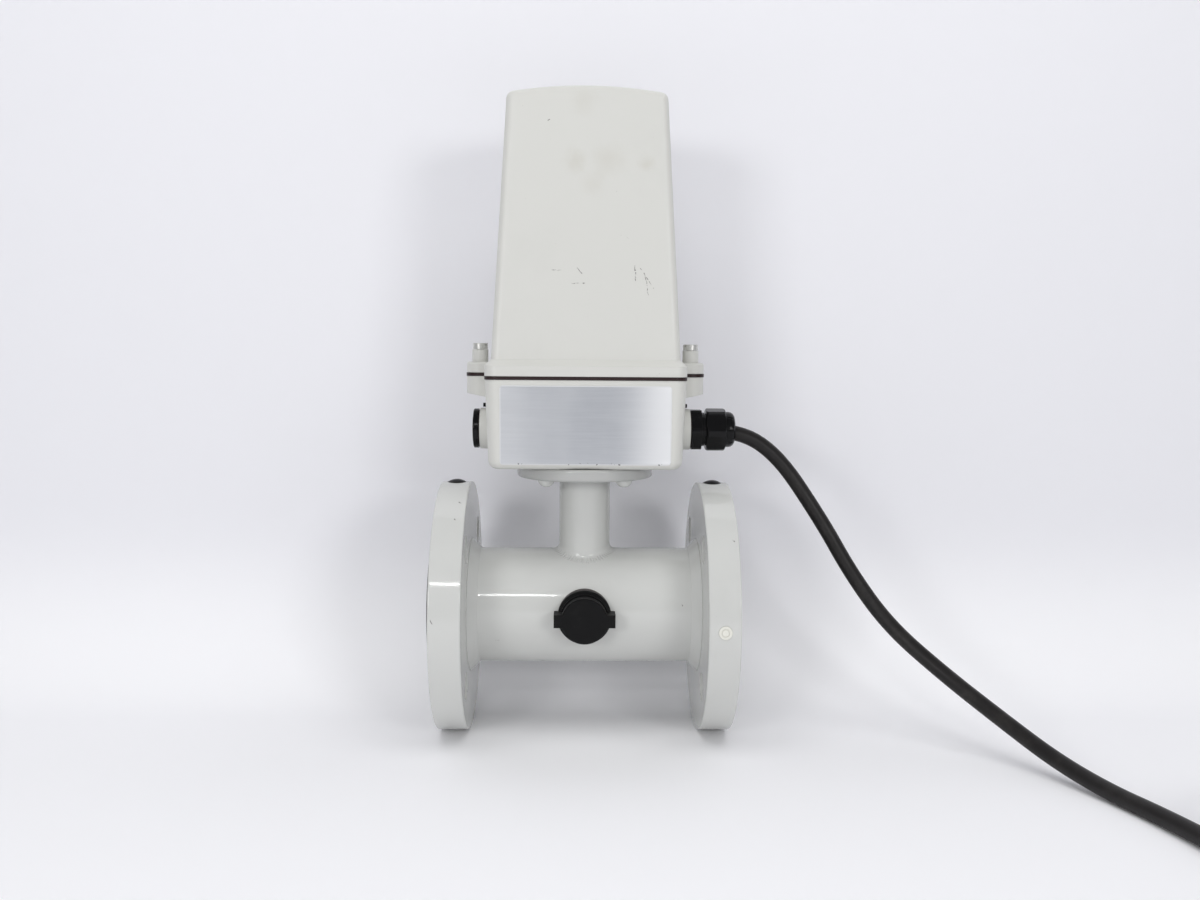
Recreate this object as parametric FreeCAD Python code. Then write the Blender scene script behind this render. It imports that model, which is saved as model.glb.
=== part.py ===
"""Electromagnetic flow meter: a flanged sensor tube with a terminal box and a tall transmitter cover.

Millimetres. The origin is the centre of the inlet sealing face, +X runs along the pipe to the outlet
and +Z points up to the transmitter. Each function returns the shape of one node.
"""
import FreeCAD, Part

import math
import os

V = FreeCAD.Vector
X, Y, Z = V(1, 0, 0), V(0, 1, 0), V(0, 0, 1)

# ---------------------------------------------------------------- sensor tube and flanges
FACE_TO_FACE = 200.0
FLANGE_DIA = 165.0
FLANGE_THICKNESS = 20.0
RAISED_FACE_DIA = 102.0
RAISED_FACE_HEIGHT = 2.0
BOLT_CIRCLE_DIA = 125.0
BOLT_HOLE_DIA = 18.0
BOLT_COUNT = 4
RIM_EDGE = 0.8
BORE_DIA = 49.0
LINER_WALL = 2.4
LINER_FLARE_DIA = 99.0
LINER_FLARE_THICKNESS = 2.65
TUBE_WALL = 1.6
HOUSING_DIA = 76.1
HOUSING_WALL = 2.3
HUB_DIA = 89.0
HUB_LENGTH = 6.35

# ---------------------------------------------------------------- coils and electrodes
COIL_THICKNESS = 4.0
COIL_HALF_LENGTH = 32.0
COIL_HALF_ANGLE = 58.0
COIL_WINDOW_HALF_LENGTH = 16.0
COIL_WINDOW_HALF_ANGLE = 28.0
COIL_GAP = 0.3
YOKE_THICKNESS = 1.2
YOKE_GAP = 0.4
YOKE_HALF_LENGTH = 36.0
YOKE_PORT_DIA = 27.0
ELECTRODE_HEAD_DIA = 8.0
ELECTRODE_HEAD_RISE = 1.2
ELECTRODE_PIN_DIA = 3.2
ELECTRODE_BUSH_DIA = 8.0
ELECTRODE_BUSH_LENGTH = 1.5
ELECTRODE_NUT_FLATS = 7.0
ELECTRODE_NUT_LENGTH = 2.6
ELECTRODE_PIN_END = 2.0

# ---------------------------------------------------------------- electrode port plugs
PORT_DIA = 24.0
PORT_SEAL_DIA = 34.6
PORT_SEAL_RISE = 1.2
PLUG_FLANGE_THICKNESS = 5.6
PLUG_FACE_DIA = 29.2
PLUG_FACE_RISE = 16.0
PLUG_FLANGE_EDGE = 2.4
PLUG_SHOULDER = 0.9
PLUG_GROOVE_DEPTH = 1.0
PLUG_GROOVE_WIDTH = 1.2
PLUG_FACE_EDGE = 0.7
PLUG_WALL = 2.5
PLUG_END_GAP = 0.6
WING_SPAN = 39.0
WING_HEIGHT = 8.2
WING_EDGE = 0.6
THREAD_CLEARANCE = 0.2
SEAT_GAP = 0.2

# ---------------------------------------------------------------- rim plugs
RIM_PLUG_HEAD_DIA = 12.4
RIM_PLUG_DOME = 1.9
RIM_PLUG_STEM_DIA = 8.4
RIM_PLUG_STEM_LENGTH = 6.0
SIDE_PLUG_DIA = 8.2
SIDE_PLUG_RISE = 0.4
SIDE_PLUG_DEPTH = 8.0

# ---------------------------------------------------------------- neck
NECK_DIA = 33.7
NECK_WALL = 2.6
NECK_WELD = 4.0
NECK_FLANGE_DIA = 90.0
NECK_FLANGE_THICKNESS = 8.0
NECK_FLANGE_EDGE = 1.8
NECK_SCREW_CIRCLE_DIA = 71.0
NECK_SCREW_COUNT = 4
NECK_SCREW_DIA = 6.0
NECK_SCREW_HEAD_DIA = 11.4
NECK_SCREW_HEAD_HEIGHT = 5.0
NECK_SCREW_GRIP = 7.0
NECK_SCREW_KEY = 4.0
NECK_SEAL_DIA = 46.0
NECK_SEAL_WIDTH = 3.0
NECK_SEAL_DEPTH = 2.0
SENSOR_CABLE_DIA = 7.0

# ---------------------------------------------------------------- terminal box
BOX_BASE = 95.0
BOX_HEIGHT = 56.6
BOX_TOP_WIDTH = 127.5
BOX_TOP_DEPTH = 94.0
BOX_BASE_WIDTH = 123.0
BOX_BASE_DEPTH = 89.5
BOX_CORNER = 8.0
BOX_BOTTOM_EDGE = 5.5
BOX_WALL = 4.0
BOX_FLOOR = 5.0
BOX_BOSS_DIA = 14.0
BOX_BOSS_HEIGHT = 4.0
ENTRY_HEIGHT = 118.5
ENTRY_DIA = 27.2
ENTRY_REACH = 69.5
ENTRY_THREAD_DIA = 20.0
EAR_CENTRE = 69.75
EAR_DIA = 17.5
EAR_STEP = 1.7
LUG_OUTER_DROP = 11.0
LUG_INNER_DROP = 14.5
SIDE_PIN_DIA = 2.7
SIDE_PIN_REACH = 67.8
PILLAR_DIA = 9.0
PILLAR_X = 44.0
PILLAR_Y = 28.0
PILLAR_TOP = 146.0

# ---------------------------------------------------------------- gasket and cover
GASKET_THICKNESS = 2.2
GASKET_PROUD = 0.3
GASKET_CLEARANCE = 0.3
COVER_BAND_WIDTH = 128.0
COVER_BAND_DEPTH = 94.5
COVER_BAND_HEIGHT = 6.5
COVER_BAND_SLOPE = 4.0
COVER_BASE_WIDTH = 121.2
COVER_BASE_DEPTH = 86.5
COVER_TOP_WIDTH = 100.6
COVER_TOP_DEPTH = 71.0
COVER_HEIGHT = 181.6
COVER_ARCH = 4.4
COVER_CORNER = 5.0
COVER_WALL = 3.0
EAR_PLATE_HEIGHT = 7.1
EAR_PLATE_EDGE = 1.5
SCREW_BOSS_DIA = 10.6
SCREW_BOSS_HEIGHT = 8.1
SCREW_DIA = 5.0
SCREW_HEAD_DIA = 9.8
SCREW_HEAD_HEIGHT = 4.0
SCREW_SLOT_WIDTH = 1.3
SCREW_SLOT_DEPTH = 1.7
SCREW_SLOT_TURN = 35.0
SCREW_EDGE = 0.5
SCREW_GRIP = 8.0
SCREW_CLEARANCE = 0.25

# ---------------------------------------------------------------- window on the far side of the cover
WINDOW_HEIGHT = 262.0
WINDOW_WIDTH = 60.0
WINDOW_TALL = 36.0
WINDOW_CORNER = 4.0
WINDOW_LAND = 4.0
WINDOW_SEAL_THICKNESS = 1.0
GLASS_THICKNESS = 3.0
FRAME_THICKNESS = 1.6
FRAME_BORDER = 9.0
FRAME_LIP = 1.0
FRAME_SCREW_DIA = 2.5
FRAME_SCREW_HEAD_DIA = 4.6
FRAME_SCREW_HEAD_HEIGHT = 1.5
FRAME_SCREW_INSET = 2.0
FRAME_END = 3.0
WINDOW_BEVEL = 2.0

# ---------------------------------------------------------------- blanking plug and cable gland
GLAND_SEAL_THICKNESS = 0.8
GLAND_SEAL_DIA = 24.4
BLANK_HEAD_DIA = 26.2
BLANK_HEAD_THICKNESS = 4.4
BLANK_DOME = 1.1
BLANK_EDGE = 0.8
ENTRY_SPIGOT_LENGTH = 11.0
SPIGOT_WALL = 2.5
COIN_SLOT_LENGTH = 14.0
COIN_SLOT_WIDTH = 2.2
COIN_SLOT_DEPTH = 2.0
GLAND_FLATS = 26.0
GLAND_HEX_LENGTH = 6.7
GLAND_COLLAR_DIA = 22.6
GLAND_COLLAR_LENGTH = 2.0
GLAND_THREAD_DIA = 21.2
GLAND_THREAD_LENGTH = 12.0
GLAND_BORE_DIA = 15.0
NUT_GAP = 1.2
NUT_FLATS = 26.4
NUT_CORNER_DIA = 28.6
NUT_GRIP_LENGTH = 13.0
NUT_DOME_LENGTH = 6.4
NUT_DOME_DIA = 23.6
NUT_MOUTH_DIA = 12.4
NUT_WALL_GAP = 0.3
NUT_TURN = 9.0
NUT_CORNER_EDGE = 1.6
NUT_DOME_LIP = 1.6
NUT_LIP_LENGTH = 1.5
NUT_INNER_SLOPE = 2.4
NUT_SLOTS = 8
NUT_SLOT_WIDTH = 1.2
NUT_SLOT_DEPTH = 0.9
INSERT_DIA = 14.4
INSERT_LENGTH = 15.0

# ---------------------------------------------------------------- electronics
BOARD_THICKNESS = 1.6
BOARD_WIDTH = 78.0
BOARD_DEPTH = 50.0
BOARD_SPACER_HEIGHT = 8.0
BOARD_CORNER = 3.0
BOARD_SPACER_DIA = 6.0
BOARD_SPACER_INSET = 5.0
TERMINAL_LENGTH = 33.0
TERMINAL_WIDTH = 11.0
TERMINAL_HEIGHT = 13.0
TERMINAL_INSET = 3.0
TERMINAL_WAYS = 6
TERMINAL_WELL_DEPTH = 5.0
TERMINAL_MOUTH_DEPTH = 3.0
TERMINAL_MOUTH_RISE = 5.2
TERMINAL_MOUTH_GAP = 0.4
CHASSIS_WIDTH = 104.0
CHASSIS_DEPTH = 66.0
CHASSIS_PLATE = 3.0
CHASSIS_TOP = 316.0
CHASSIS_TOP_WIDTH = 84.0
CHASSIS_CHEEK = 2.4
CHASSIS_CHEEK_DEPTH = 44.0
CHASSIS_WEB = 2.0
CHASSIS_CORNER = 4.0
WIRE_OPENING_WIDTH = 50.0
WIRE_OPENING_DEPTH = 24.0
WIRE_OPENING_Y = -16.0
WIRE_OPENING_CORNER = 3.0
CHEEK_SLOT_TALL = 34.0
CHEEK_SLOT_WIDTH = 22.0
CHEEK_SLOT_CORNER = 5.0
CHEEK_SLOT_RISE = 32.0
CHEEK_SLOT_PITCH = 48.0
CHEEK_SLOT_Y = 10.0
MODULE_SCREW_HEAD_DIA = 7.0
MODULE_SCREW_HEAD_HEIGHT = 2.6
MODULE_SCREW_SLOT_WIDTH = 1.0
MODULE_SCREW_SLOT_DEPTH = 1.1
CIRCUIT_THICKNESS = 1.6
CIRCUIT_SIDE_GAP = 7.0
CIRCUIT_BASE_GAP = 12.0
CIRCUIT_TOP_GAP = 14.0
TRANSFORMER_WIDTH = 30.0
TRANSFORMER_TALL = 26.0
TRANSFORMER_DEPTH = 18.0
TRANSFORMER_X = -11.0
TRANSFORMER_RISE = 10.0
CAPACITOR_DIA = 13.0
CAPACITOR_LENGTH = 17.0
CAPACITOR_X = 18.0
CAPACITOR_RISE = 16.0
CAPACITOR_PITCH = 20.0
CAPACITOR_COUNT = 3
CONVERTER_WIDTH = 20.0
CONVERTER_TALL = 24.0
CONVERTER_DEPTH = 9.0
CONVERTER_X = -14.0
CONVERTER_RISE = 60.0
CONNECTOR_WIDTH = 56.0
CONNECTOR_TALL = 12.0
CONNECTOR_DEPTH = 8.0
CONNECTOR_DROP = 18.0
SCREEN_WIDTH = 44.0
SCREEN_TALL = 34.0
SCREEN_DEPTH = 7.0
SCREEN_RISE = 12.0
DISPLAY_WIDTH = 68.0
DISPLAY_TALL = 42.0
DISPLAY_FRONT = 24.0
DISPLAY_BODY = 6.0
DISPLAY_BORDER = 6.0
DISPLAY_RECESS = 1.0
DISPLAY_POST_DIA = 5.0
DISPLAY_POST_INSET = 5.0
PANE_PROUD = 0.6
CORE_DIA = 2.4
CORE_OFFSET = 1.8
CORE_OVERLAP = 3.0
CORE_STRAIGHT = 1.0
CORE_ENTRY = 2.4

# ---------------------------------------------------------------- cord
CORD_DIA = 10.0
SHEATH_END = 148.0
FLOOR = -FLANGE_DIA / 2
COIL_TIE = 1.0
CORD_ROUTE = [
    (158.0, 0.0, 118.5),
    (218.0, 0.0, 118.5),
    (258.0, -8.5, 58.5),
    (277.0, -15.0, 24.0),
    (300.0, -26.5, -8.5),
    (330.0, -47.0, -34.5),
    (358.0, -74.5, -55.5),
    (380.0, -104.0, -71.0),
    (397.0, -138.0, -77.5),
    (410.0, -175.0, -77.2),
    (421.4, -222.8, -76.6),
]
CORD_COIL_CENTRE = (487.8, -233.2)
CORD_COIL_OUTER = 67.5
CORD_COIL_INNER = 47.5
CORD_COIL_TURNS_HIGH = 2
TIE_ANGLE = 20.0
TIE_WIDTH = 5.0
TAIL_ANGLE = 150.0
TAIL_LENGTH = 34.0
FERRULE_LENGTH = 8.0
FERRULE_DIA = 1.6
TAIL_CORE_PITCH = 3.0
TAIL_CORE_LEAN = 0.25
TAIL_CORE_FAN = 0.14
TAIL_OVERLAP = 6.0

# ---------------------------------------------------------------- places worked out from the sizes above
MID = FACE_TO_FACE / 2
LINER_OUTER = BORE_DIA / 2 + LINER_WALL
TUBE_OUTER = LINER_OUTER + TUBE_WALL
DISC_START = LINER_FLARE_THICKNESS + RAISED_FACE_HEIGHT
DISC_END = DISC_START + FLANGE_THICKNESS
HOUSING_OUTER = HOUSING_DIA / 2
HOUSING_INNER = HOUSING_OUTER - HOUSING_WALL
YOKE_OUTER = HOUSING_INNER - YOKE_GAP
YOKE_INNER = YOKE_OUTER - YOKE_THICKNESS
NECK_TOP = BOX_BASE - NECK_FLANGE_THICKNESS
NECK_INNER = NECK_DIA / 2 - NECK_WALL
RIM_MIDDLE = DISC_START + FLANGE_THICKNESS / 2
BOX_TOP = BOX_BASE + BOX_HEIGHT
COVER_BOTTOM = BOX_TOP + GASKET_THICKNESS
EAR_SEAT = BOX_TOP + EAR_STEP
EAR_UNDERSIDE = COVER_BOTTOM + EAR_STEP
COVER_TOP = COVER_BOTTOM + COVER_HEIGHT
EAR_PLATE_TOP = EAR_UNDERSIDE + EAR_PLATE_HEIGHT
SCREW_SEAT = EAR_PLATE_TOP + SCREW_BOSS_HEIGHT
BOARD_BASE = BOX_BASE + BOX_FLOOR + BOARD_SPACER_HEIGHT
BOARD_TOP = BOARD_BASE + BOARD_THICKNESS
CHASSIS_BASE = PILLAR_TOP + CHASSIS_PLATE
GLAND_START = ENTRY_REACH + GLAND_SEAL_THICKNESS
COLLAR_START = GLAND_START + GLAND_HEX_LENGTH
NUT_START = COLLAR_START + GLAND_COLLAR_LENGTH + NUT_GAP
NUT_END = NUT_START + NUT_GRIP_LENGTH + NUT_DOME_LENGTH
CORD_COIL_BASE = FLOOR + COIL_TIE
CORD_COIL_TOP = CORD_COIL_BASE + CORD_COIL_TURNS_HIGH * CORD_DIA
ENTRY_AXIS = (MID, 0.0, ENTRY_HEIGHT)
GLASS_WIDTH = WINDOW_WIDTH + 2 * WINDOW_LAND
GLASS_TALL = WINDOW_TALL + 2 * WINDOW_LAND
SEAL_LEVEL = COVER_WALL
GLASS_LEVEL = SEAL_LEVEL + WINDOW_SEAL_THICKNESS
FRAME_LEVEL = GLASS_LEVEL + GLASS_THICKNESS
FRAME_END_LEVEL = FRAME_LEVEL + FRAME_THICKNESS
CHASSIS_BASE_HALF = CHASSIS_WIDTH / 2 - CHASSIS_CORNER
CHASSIS_TOP_HALF = CHASSIS_TOP_WIDTH / 2
CIRCUIT_LOW = CHASSIS_BASE + CIRCUIT_BASE_GAP
CIRCUIT_HIGH = CHASSIS_TOP - CIRCUIT_TOP_GAP
TERMINAL_PITCH = TERMINAL_LENGTH / TERMINAL_WAYS
TERMINAL_MOUTH = BOARD_TOP + TERMINAL_MOUTH_RISE


# ---------------------------------------------------------------- small helpers
def rod(dia, start, end, axis=X, at=(0.0, 0.0, 0.0)):
    """A cylinder along axis, from start to end on it, through the point at."""
    base = V(*at) + axis * start
    return Part.makeCylinder(dia / 2, end - start, base, axis)


def sleeve(outer, inner, start, end, axis=X, at=(0.0, 0.0, 0.0)):
    """A tube along axis."""
    return rod(outer, start, end, axis, at).cut(rod(inner, start, end, axis, at))


def block(x0, x1, y0, y1, z0, z1):
    """A box from its limits."""
    return Part.makeBox(x1 - x0, y1 - y0, z1 - z0, V(x0, y0, z0))


def outline(points):
    """A closed wire through points."""
    return Part.makePolygon(points + points[:1])


def turned(profile, axis, at=V(0, 0, 0), angle=360.0):
    """A solid of revolution of a list of points about axis."""
    return Part.Face(outline(profile)).revolve(at, axis, angle)


def rounded_wire(width, depth, corner, height, centre=(0.0, 0.0)):
    """A rectangle with round corners, level, at a height."""
    cx, cy = centre
    half_x, half_y = width / 2, depth / 2
    straight_x, straight_y = half_x - corner, half_y - corner
    edges = []
    for quarter in range(4):
        angle = math.radians(90 * quarter)
        sign_x = 1 if quarter in (0, 3) else -1
        sign_y = 1 if quarter in (0, 1) else -1
        middle = V(cx + sign_x * straight_x, cy + sign_y * straight_y, height)
        ends = []
        for part in (0, 45, 90):
            turn = angle + math.radians(part)
            ends.append(middle + V(math.cos(turn), math.sin(turn), 0) * corner)
        if edges:
            edges.append(Part.LineSegment(last, ends[0]).toShape())
        else:
            first = ends[0]
        edges.append(Part.Arc(*ends).toShape())
        last = ends[2]
    edges.append(Part.LineSegment(last, first).toShape())
    return Part.Wire(edges)


def rounded_plate(width, depth, corner, start, end, centre=(0.0, 0.0)):
    """A plate with round corners, from start to end in height."""
    face = Part.Face(rounded_wire(width, depth, corner, start, centre))
    return face.extrude(Z * (end - start))


def tapered(low, high):
    """A solid between two rounded rectangles, each (width, depth, corner, height)."""
    wires = [rounded_wire(*end, centre=(MID, 0.0)) for end in (low, high)]
    return Part.makeLoft(wires, True, True)


def hexagon(flats, start, end, axis=X, at=(0.0, 0.0, 0.0), turn=0.0):
    """A hexagonal bar along axis, with its size across the flats."""
    radius = flats / 2 / math.cos(math.radians(30))
    side = Y if abs(axis.y) < 0.5 else Z
    third = axis.cross(side)
    points = []
    for corner in range(6):
        angle = math.radians(60 * corner + turn)
        arm = side * math.cos(angle) + third * math.sin(angle)
        points.append(V(*at) + axis * start + arm * radius)
    return Part.Face(outline(points)).extrude(axis * (end - start))


def round_edges(shape, radius, wanted):
    """Round the edges that wanted(edge) picks."""
    return shape.makeFillet(radius, [edge for edge in shape.Edges if wanted(edge)])


def is_circle(edge, radius):
    """Whether edge lies on a circle of this radius."""
    return hasattr(edge.Curve, "Radius") and abs(edge.Curve.Radius - radius) < 1e-6


def fused(shapes):
    """The union of several shapes as one clean solid."""
    return shapes[0].fuse(shapes[1:]).removeSplitter()


def facing(shape):
    """The same shape at the other end of the meter, as its mirror image."""
    return shape.mirror(V(MID, 0, 0), X)


def behind(shape):
    """The same shape on the far side of the pipe, as its mirror image."""
    return shape.mirror(V(0, 0, 0), Y)


def ball_radius(dia, rise):
    """The radius of the ball whose cap has this diameter and rise."""
    return ((dia / 2)**2 + rise**2) / (2 * rise)


def polar(circle_dia, count, first=45.0):
    """Points spaced evenly on a circle, as pairs."""
    places = []
    for number in range(count):
        angle = math.radians(first + 360.0 * number / count)
        places.append((circle_dia / 2 * math.cos(angle), circle_dia / 2 * math.sin(angle)))
    return places


# ---------------------------------------------------------------- sensor
def flange():
    """The inlet flange with its raised face, bolt holes, rim plug hole and tube bore."""
    rim = rod(FLANGE_DIA, DISC_START, DISC_END)
    rim = round_edges(rim, RIM_EDGE, lambda edge: is_circle(edge, FLANGE_DIA / 2))
    body = rim.fuse(rod(RAISED_FACE_DIA, LINER_FLARE_THICKNESS, DISC_START))
    cuts = [rod(2 * TUBE_OUTER, LINER_FLARE_THICKNESS, DISC_END)]
    for y, z in polar(BOLT_CIRCLE_DIA, BOLT_COUNT):
        cuts.append(rod(BOLT_HOLE_DIA, DISC_START, DISC_END, X, (0, y, z)))
    cuts.append(rim_stem(0.0))
    return body.cut(cuts)


def rim_stem(gap):
    """The stem of a rim plug, on top of the inlet flange."""
    top = FLANGE_DIA / 2
    return rod(RIM_PLUG_STEM_DIA - 2 * gap, top - RIM_PLUG_STEM_LENGTH, top, Z, (RIM_MIDDLE, 0, 0))


def side_plug_rod(reach):
    """A rod on the level axis of the outlet flange's rim, on the near side."""
    rim = FLANGE_DIA / 2
    return rod(SIDE_PLUG_DIA, rim - SIDE_PLUG_DEPTH, rim + reach, -Y, (FACE_TO_FACE - RIM_MIDDLE, 0, 0))


def outlet_flange():
    """The outlet flange, which also takes the side plug."""
    return facing(flange()).cut(side_plug_rod(0.0))


def rim_plug():
    """A domed plug pressed into the top of the inlet flange's rim."""
    top = FLANGE_DIA / 2
    dome = ball_radius(RIM_PLUG_HEAD_DIA, RIM_PLUG_DOME)
    head = Part.makeSphere(dome, V(RIM_MIDDLE, 0, top + RIM_PLUG_DOME - dome))
    head = head.common(rod(RIM_PLUG_HEAD_DIA, 0, top + RIM_PLUG_DOME, Z, (RIM_MIDDLE, 0, 0)))
    head = head.cut(rod(FLANGE_DIA, DISC_START, DISC_END))
    stem = rim_stem(0.0).common(rod(FLANGE_DIA, DISC_START, DISC_END))
    return head.fuse(stem).removeSplitter()


def outlet_side_plug():
    """A flush plug with a ring groove in its face."""
    rim = FLANGE_DIA / 2
    place = (FACE_TO_FACE - RIM_MIDDLE, 0, 0)
    groove = sleeve(0.62 * SIDE_PLUG_DIA, 0.5 * SIDE_PLUG_DIA, rim, rim + SIDE_PLUG_RISE, -Y, place)
    return side_plug_rod(SIDE_PLUG_RISE).cut(groove)


def measuring_tube():
    """The non-magnetic tube between the sealing faces, with its electrode holes."""
    start, end = LINER_FLARE_THICKNESS, FACE_TO_FACE - LINER_FLARE_THICKNESS
    tube = sleeve(2 * TUBE_OUTER, 2 * LINER_OUTER, start, end)
    return tube.cut(rod(ELECTRODE_PIN_DIA, -TUBE_OUTER, TUBE_OUTER, Y, (MID, 0, 0)))


def liner():
    """The lining of the bore, turned out over both raised faces."""
    inner, outer, flare = BORE_DIA / 2, LINER_OUTER, LINER_FLARE_DIA / 2
    end, thick = FACE_TO_FACE, LINER_FLARE_THICKNESS
    profile = [
        V(0, 0, inner + 1.0), V(0, 0, flare - 0.6), V(0.6, 0, flare), V(thick, 0, flare),
        V(thick, 0, outer), V(end - thick, 0, outer), V(end - thick, 0, flare),
        V(end - 0.6, 0, flare), V(end, 0, flare - 0.6), V(end, 0, inner + 1.0),
        V(end - 1.0, 0, inner), V(1.0, 0, inner),
    ]
    body = turned(profile, X)
    head = ELECTRODE_HEAD_DIA
    for side in (Y, -Y):
        pocket = rod(head, 0, BORE_DIA / 2 + 0.6, side, (MID, 0, 0))
        body = body.cut([pocket, rod(ELECTRODE_PIN_DIA, 0, LINER_OUTER, side, (MID, 0, 0))])
    return body


def sensor_housing():
    """The welded housing: the outer tube, its hubs at both flanges, and the neck pipe."""
    start, end = DISC_END, FACE_TO_FACE - DISC_END
    profile = [
        V(start, 0, 0), V(start, 0, HUB_DIA / 2), V(start + HUB_LENGTH, 0, HOUSING_OUTER),
        V(end - HUB_LENGTH, 0, HOUSING_OUTER), V(end, 0, HUB_DIA / 2), V(end, 0, 0),
    ]
    body = turned(profile, X).fuse(rod(NECK_DIA, 0, NECK_TOP, Z, (MID, 0, 0))).removeSplitter()
    body = round_edges(body, NECK_WELD, lambda edge: "BSpline" in edge.Curve.TypeId)
    cuts = [
        rod(2 * HOUSING_INNER, start, end),
        rod(2 * NECK_INNER, 0, NECK_TOP, Z, (MID, 0, 0)),
        rod(PORT_DIA, -HOUSING_DIA, HOUSING_DIA, Y, (MID, 0, 0)),
    ]
    return body.cut(cuts)


def tube_sector(inner, outer, half_length, half_angle):
    """A piece of a tube about the pipe axis, centred on the top."""
    start = V(0, math.sin(math.radians(half_angle)), math.cos(math.radians(half_angle)))
    profile = [
        V(MID - half_length, 0, 0) + start * inner, V(MID + half_length, 0, 0) + start * inner,
        V(MID + half_length, 0, 0) + start * outer, V(MID - half_length, 0, 0) + start * outer,
    ]
    return turned(profile, X, angle=2 * half_angle)


def upper_coil():
    """A saddle coil over the measuring tube, with a window for its pole shoe."""
    inner = TUBE_OUTER + COIL_GAP
    outer = inner + COIL_THICKNESS
    window = tube_sector(inner - 1, outer + 1, COIL_WINDOW_HALF_LENGTH, COIL_WINDOW_HALF_ANGLE)
    return tube_sector(inner, outer, COIL_HALF_LENGTH, COIL_HALF_ANGLE).cut(window)


def upper_pole_shoe():
    """The iron block in the coil's window, which carries the field from the yoke to the tube."""
    margin = math.degrees(COIL_GAP / TUBE_OUTER)
    length = COIL_WINDOW_HALF_LENGTH - COIL_GAP
    return tube_sector(TUBE_OUTER, YOKE_INNER, length, COIL_WINDOW_HALF_ANGLE - margin)


def return_yoke():
    """The sheet-iron sleeve that closes the magnetic circuit round both coils."""
    body = sleeve(2 * YOKE_OUTER, 2 * YOKE_INNER, MID - YOKE_HALF_LENGTH, MID + YOKE_HALF_LENGTH)
    return body.cut(rod(YOKE_PORT_DIA, -YOKE_OUTER, YOKE_OUTER, Y, (MID, 0, 0)))


def front_electrode():
    """An electrode: a domed head in the liner and a pin out through the tube."""
    dome = ball_radius(ELECTRODE_HEAD_DIA, ELECTRODE_HEAD_RISE)
    face = BORE_DIA / 2 - ELECTRODE_HEAD_RISE
    ball = Part.makeSphere(dome, V(MID, -(face + dome), 0))
    head = rod(ELECTRODE_HEAD_DIA, face, BORE_DIA / 2 + 0.6, -Y, (MID, 0, 0)).common(ball)
    pin_end = TUBE_OUTER + ELECTRODE_BUSH_LENGTH + ELECTRODE_NUT_LENGTH + ELECTRODE_PIN_END
    pin = rod(ELECTRODE_PIN_DIA, BORE_DIA / 2, pin_end, -Y, (MID, 0, 0))
    return head.fuse(pin).removeSplitter()


def electrode_bushes():
    """The insulating bushes between the tube and each electrode's nut."""
    end = TUBE_OUTER + ELECTRODE_BUSH_LENGTH
    bush = sleeve(ELECTRODE_BUSH_DIA, ELECTRODE_PIN_DIA, 0, end, -Y, (MID, 0, 0))
    bush = bush.cut(rod(2 * TUBE_OUTER, 0, FACE_TO_FACE))
    return Part.makeCompound([bush, behind(bush)])


def electrode_nuts():
    """The nuts that pull each electrode's head into the liner."""
    start = TUBE_OUTER + ELECTRODE_BUSH_LENGTH
    end = start + ELECTRODE_NUT_LENGTH
    nut = hexagon(ELECTRODE_NUT_FLATS, start, end, -Y, (MID, 0, 0))
    nut = nut.cut(rod(ELECTRODE_PIN_DIA, start, end, -Y, (MID, 0, 0)))
    return Part.makeCompound([nut, behind(nut)])


# ---------------------------------------------------------------- electrode port plugs
def port_seals():
    """The saddle-shaped rubber rings between the round housing and each port plug."""
    face = HOUSING_OUTER + PORT_SEAL_RISE
    ring = sleeve(PORT_SEAL_DIA, PORT_DIA, 0, face, -Y, (MID, 0, 0))
    ring = ring.cut(rod(HOUSING_DIA, 0, FACE_TO_FACE))
    return Part.makeCompound([ring, behind(ring)])


def front_port_plug():
    """A plug turned by its two wings, with a spigot in the housing's port."""
    seat = HOUSING_OUTER + PORT_SEAL_RISE + SEAT_GAP
    face = HOUSING_OUTER + PLUG_FACE_RISE
    spigot_start = HOUSING_INNER + PLUG_END_GAP
    spigot = PORT_DIA / 2 - THREAD_CLEARANCE
    flange_radius, face_radius = PORT_SEAL_DIA / 2, PLUG_FACE_DIA / 2
    shoulder = face_radius + PLUG_SHOULDER
    groove = face_radius - PLUG_GROOVE_DEPTH
    waist = seat + PLUG_FLANGE_THICKNESS
    groove_end = waist + PLUG_GROOVE_WIDTH
    profile = [
        V(0, -spigot_start, 0), V(spigot, -spigot_start, 0), V(spigot, -seat, 0),
        V(flange_radius, -seat, 0), V(flange_radius, -(seat + PLUG_FLANGE_EDGE), 0),
        V(shoulder, -(waist - PLUG_FACE_EDGE), 0), V(shoulder, -waist, 0),
        V(groove, -waist, 0), V(groove, -groove_end, 0),
        V(face_radius, -groove_end, 0), V(face_radius, -(face - PLUG_FACE_EDGE), 0),
        V(face_radius - PLUG_FACE_EDGE, -face, 0), V(0, -face, 0),
    ]
    body = turned(profile, Y)
    body.translate(V(MID, 0, 0))
    half_span, half_height = WING_SPAN / 2, WING_HEIGHT / 2
    wing_start = seat + PLUG_FLANGE_EDGE / 2
    wings = block(MID - half_span, MID + half_span, -face, -wing_start, -half_height, half_height)
    wings = round_edges(wings, WING_EDGE, lambda edge: abs(edge.tangentAt(edge.FirstParameter).z) > 0.9
                        or abs(edge.CenterOfMass.y + face) < 1e-6)
    hollow = rod(PORT_DIA - 2 * PLUG_WALL, spigot_start, seat, -Y, (MID, 0, 0))
    return fused([body, wings]).cut(hollow)


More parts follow.
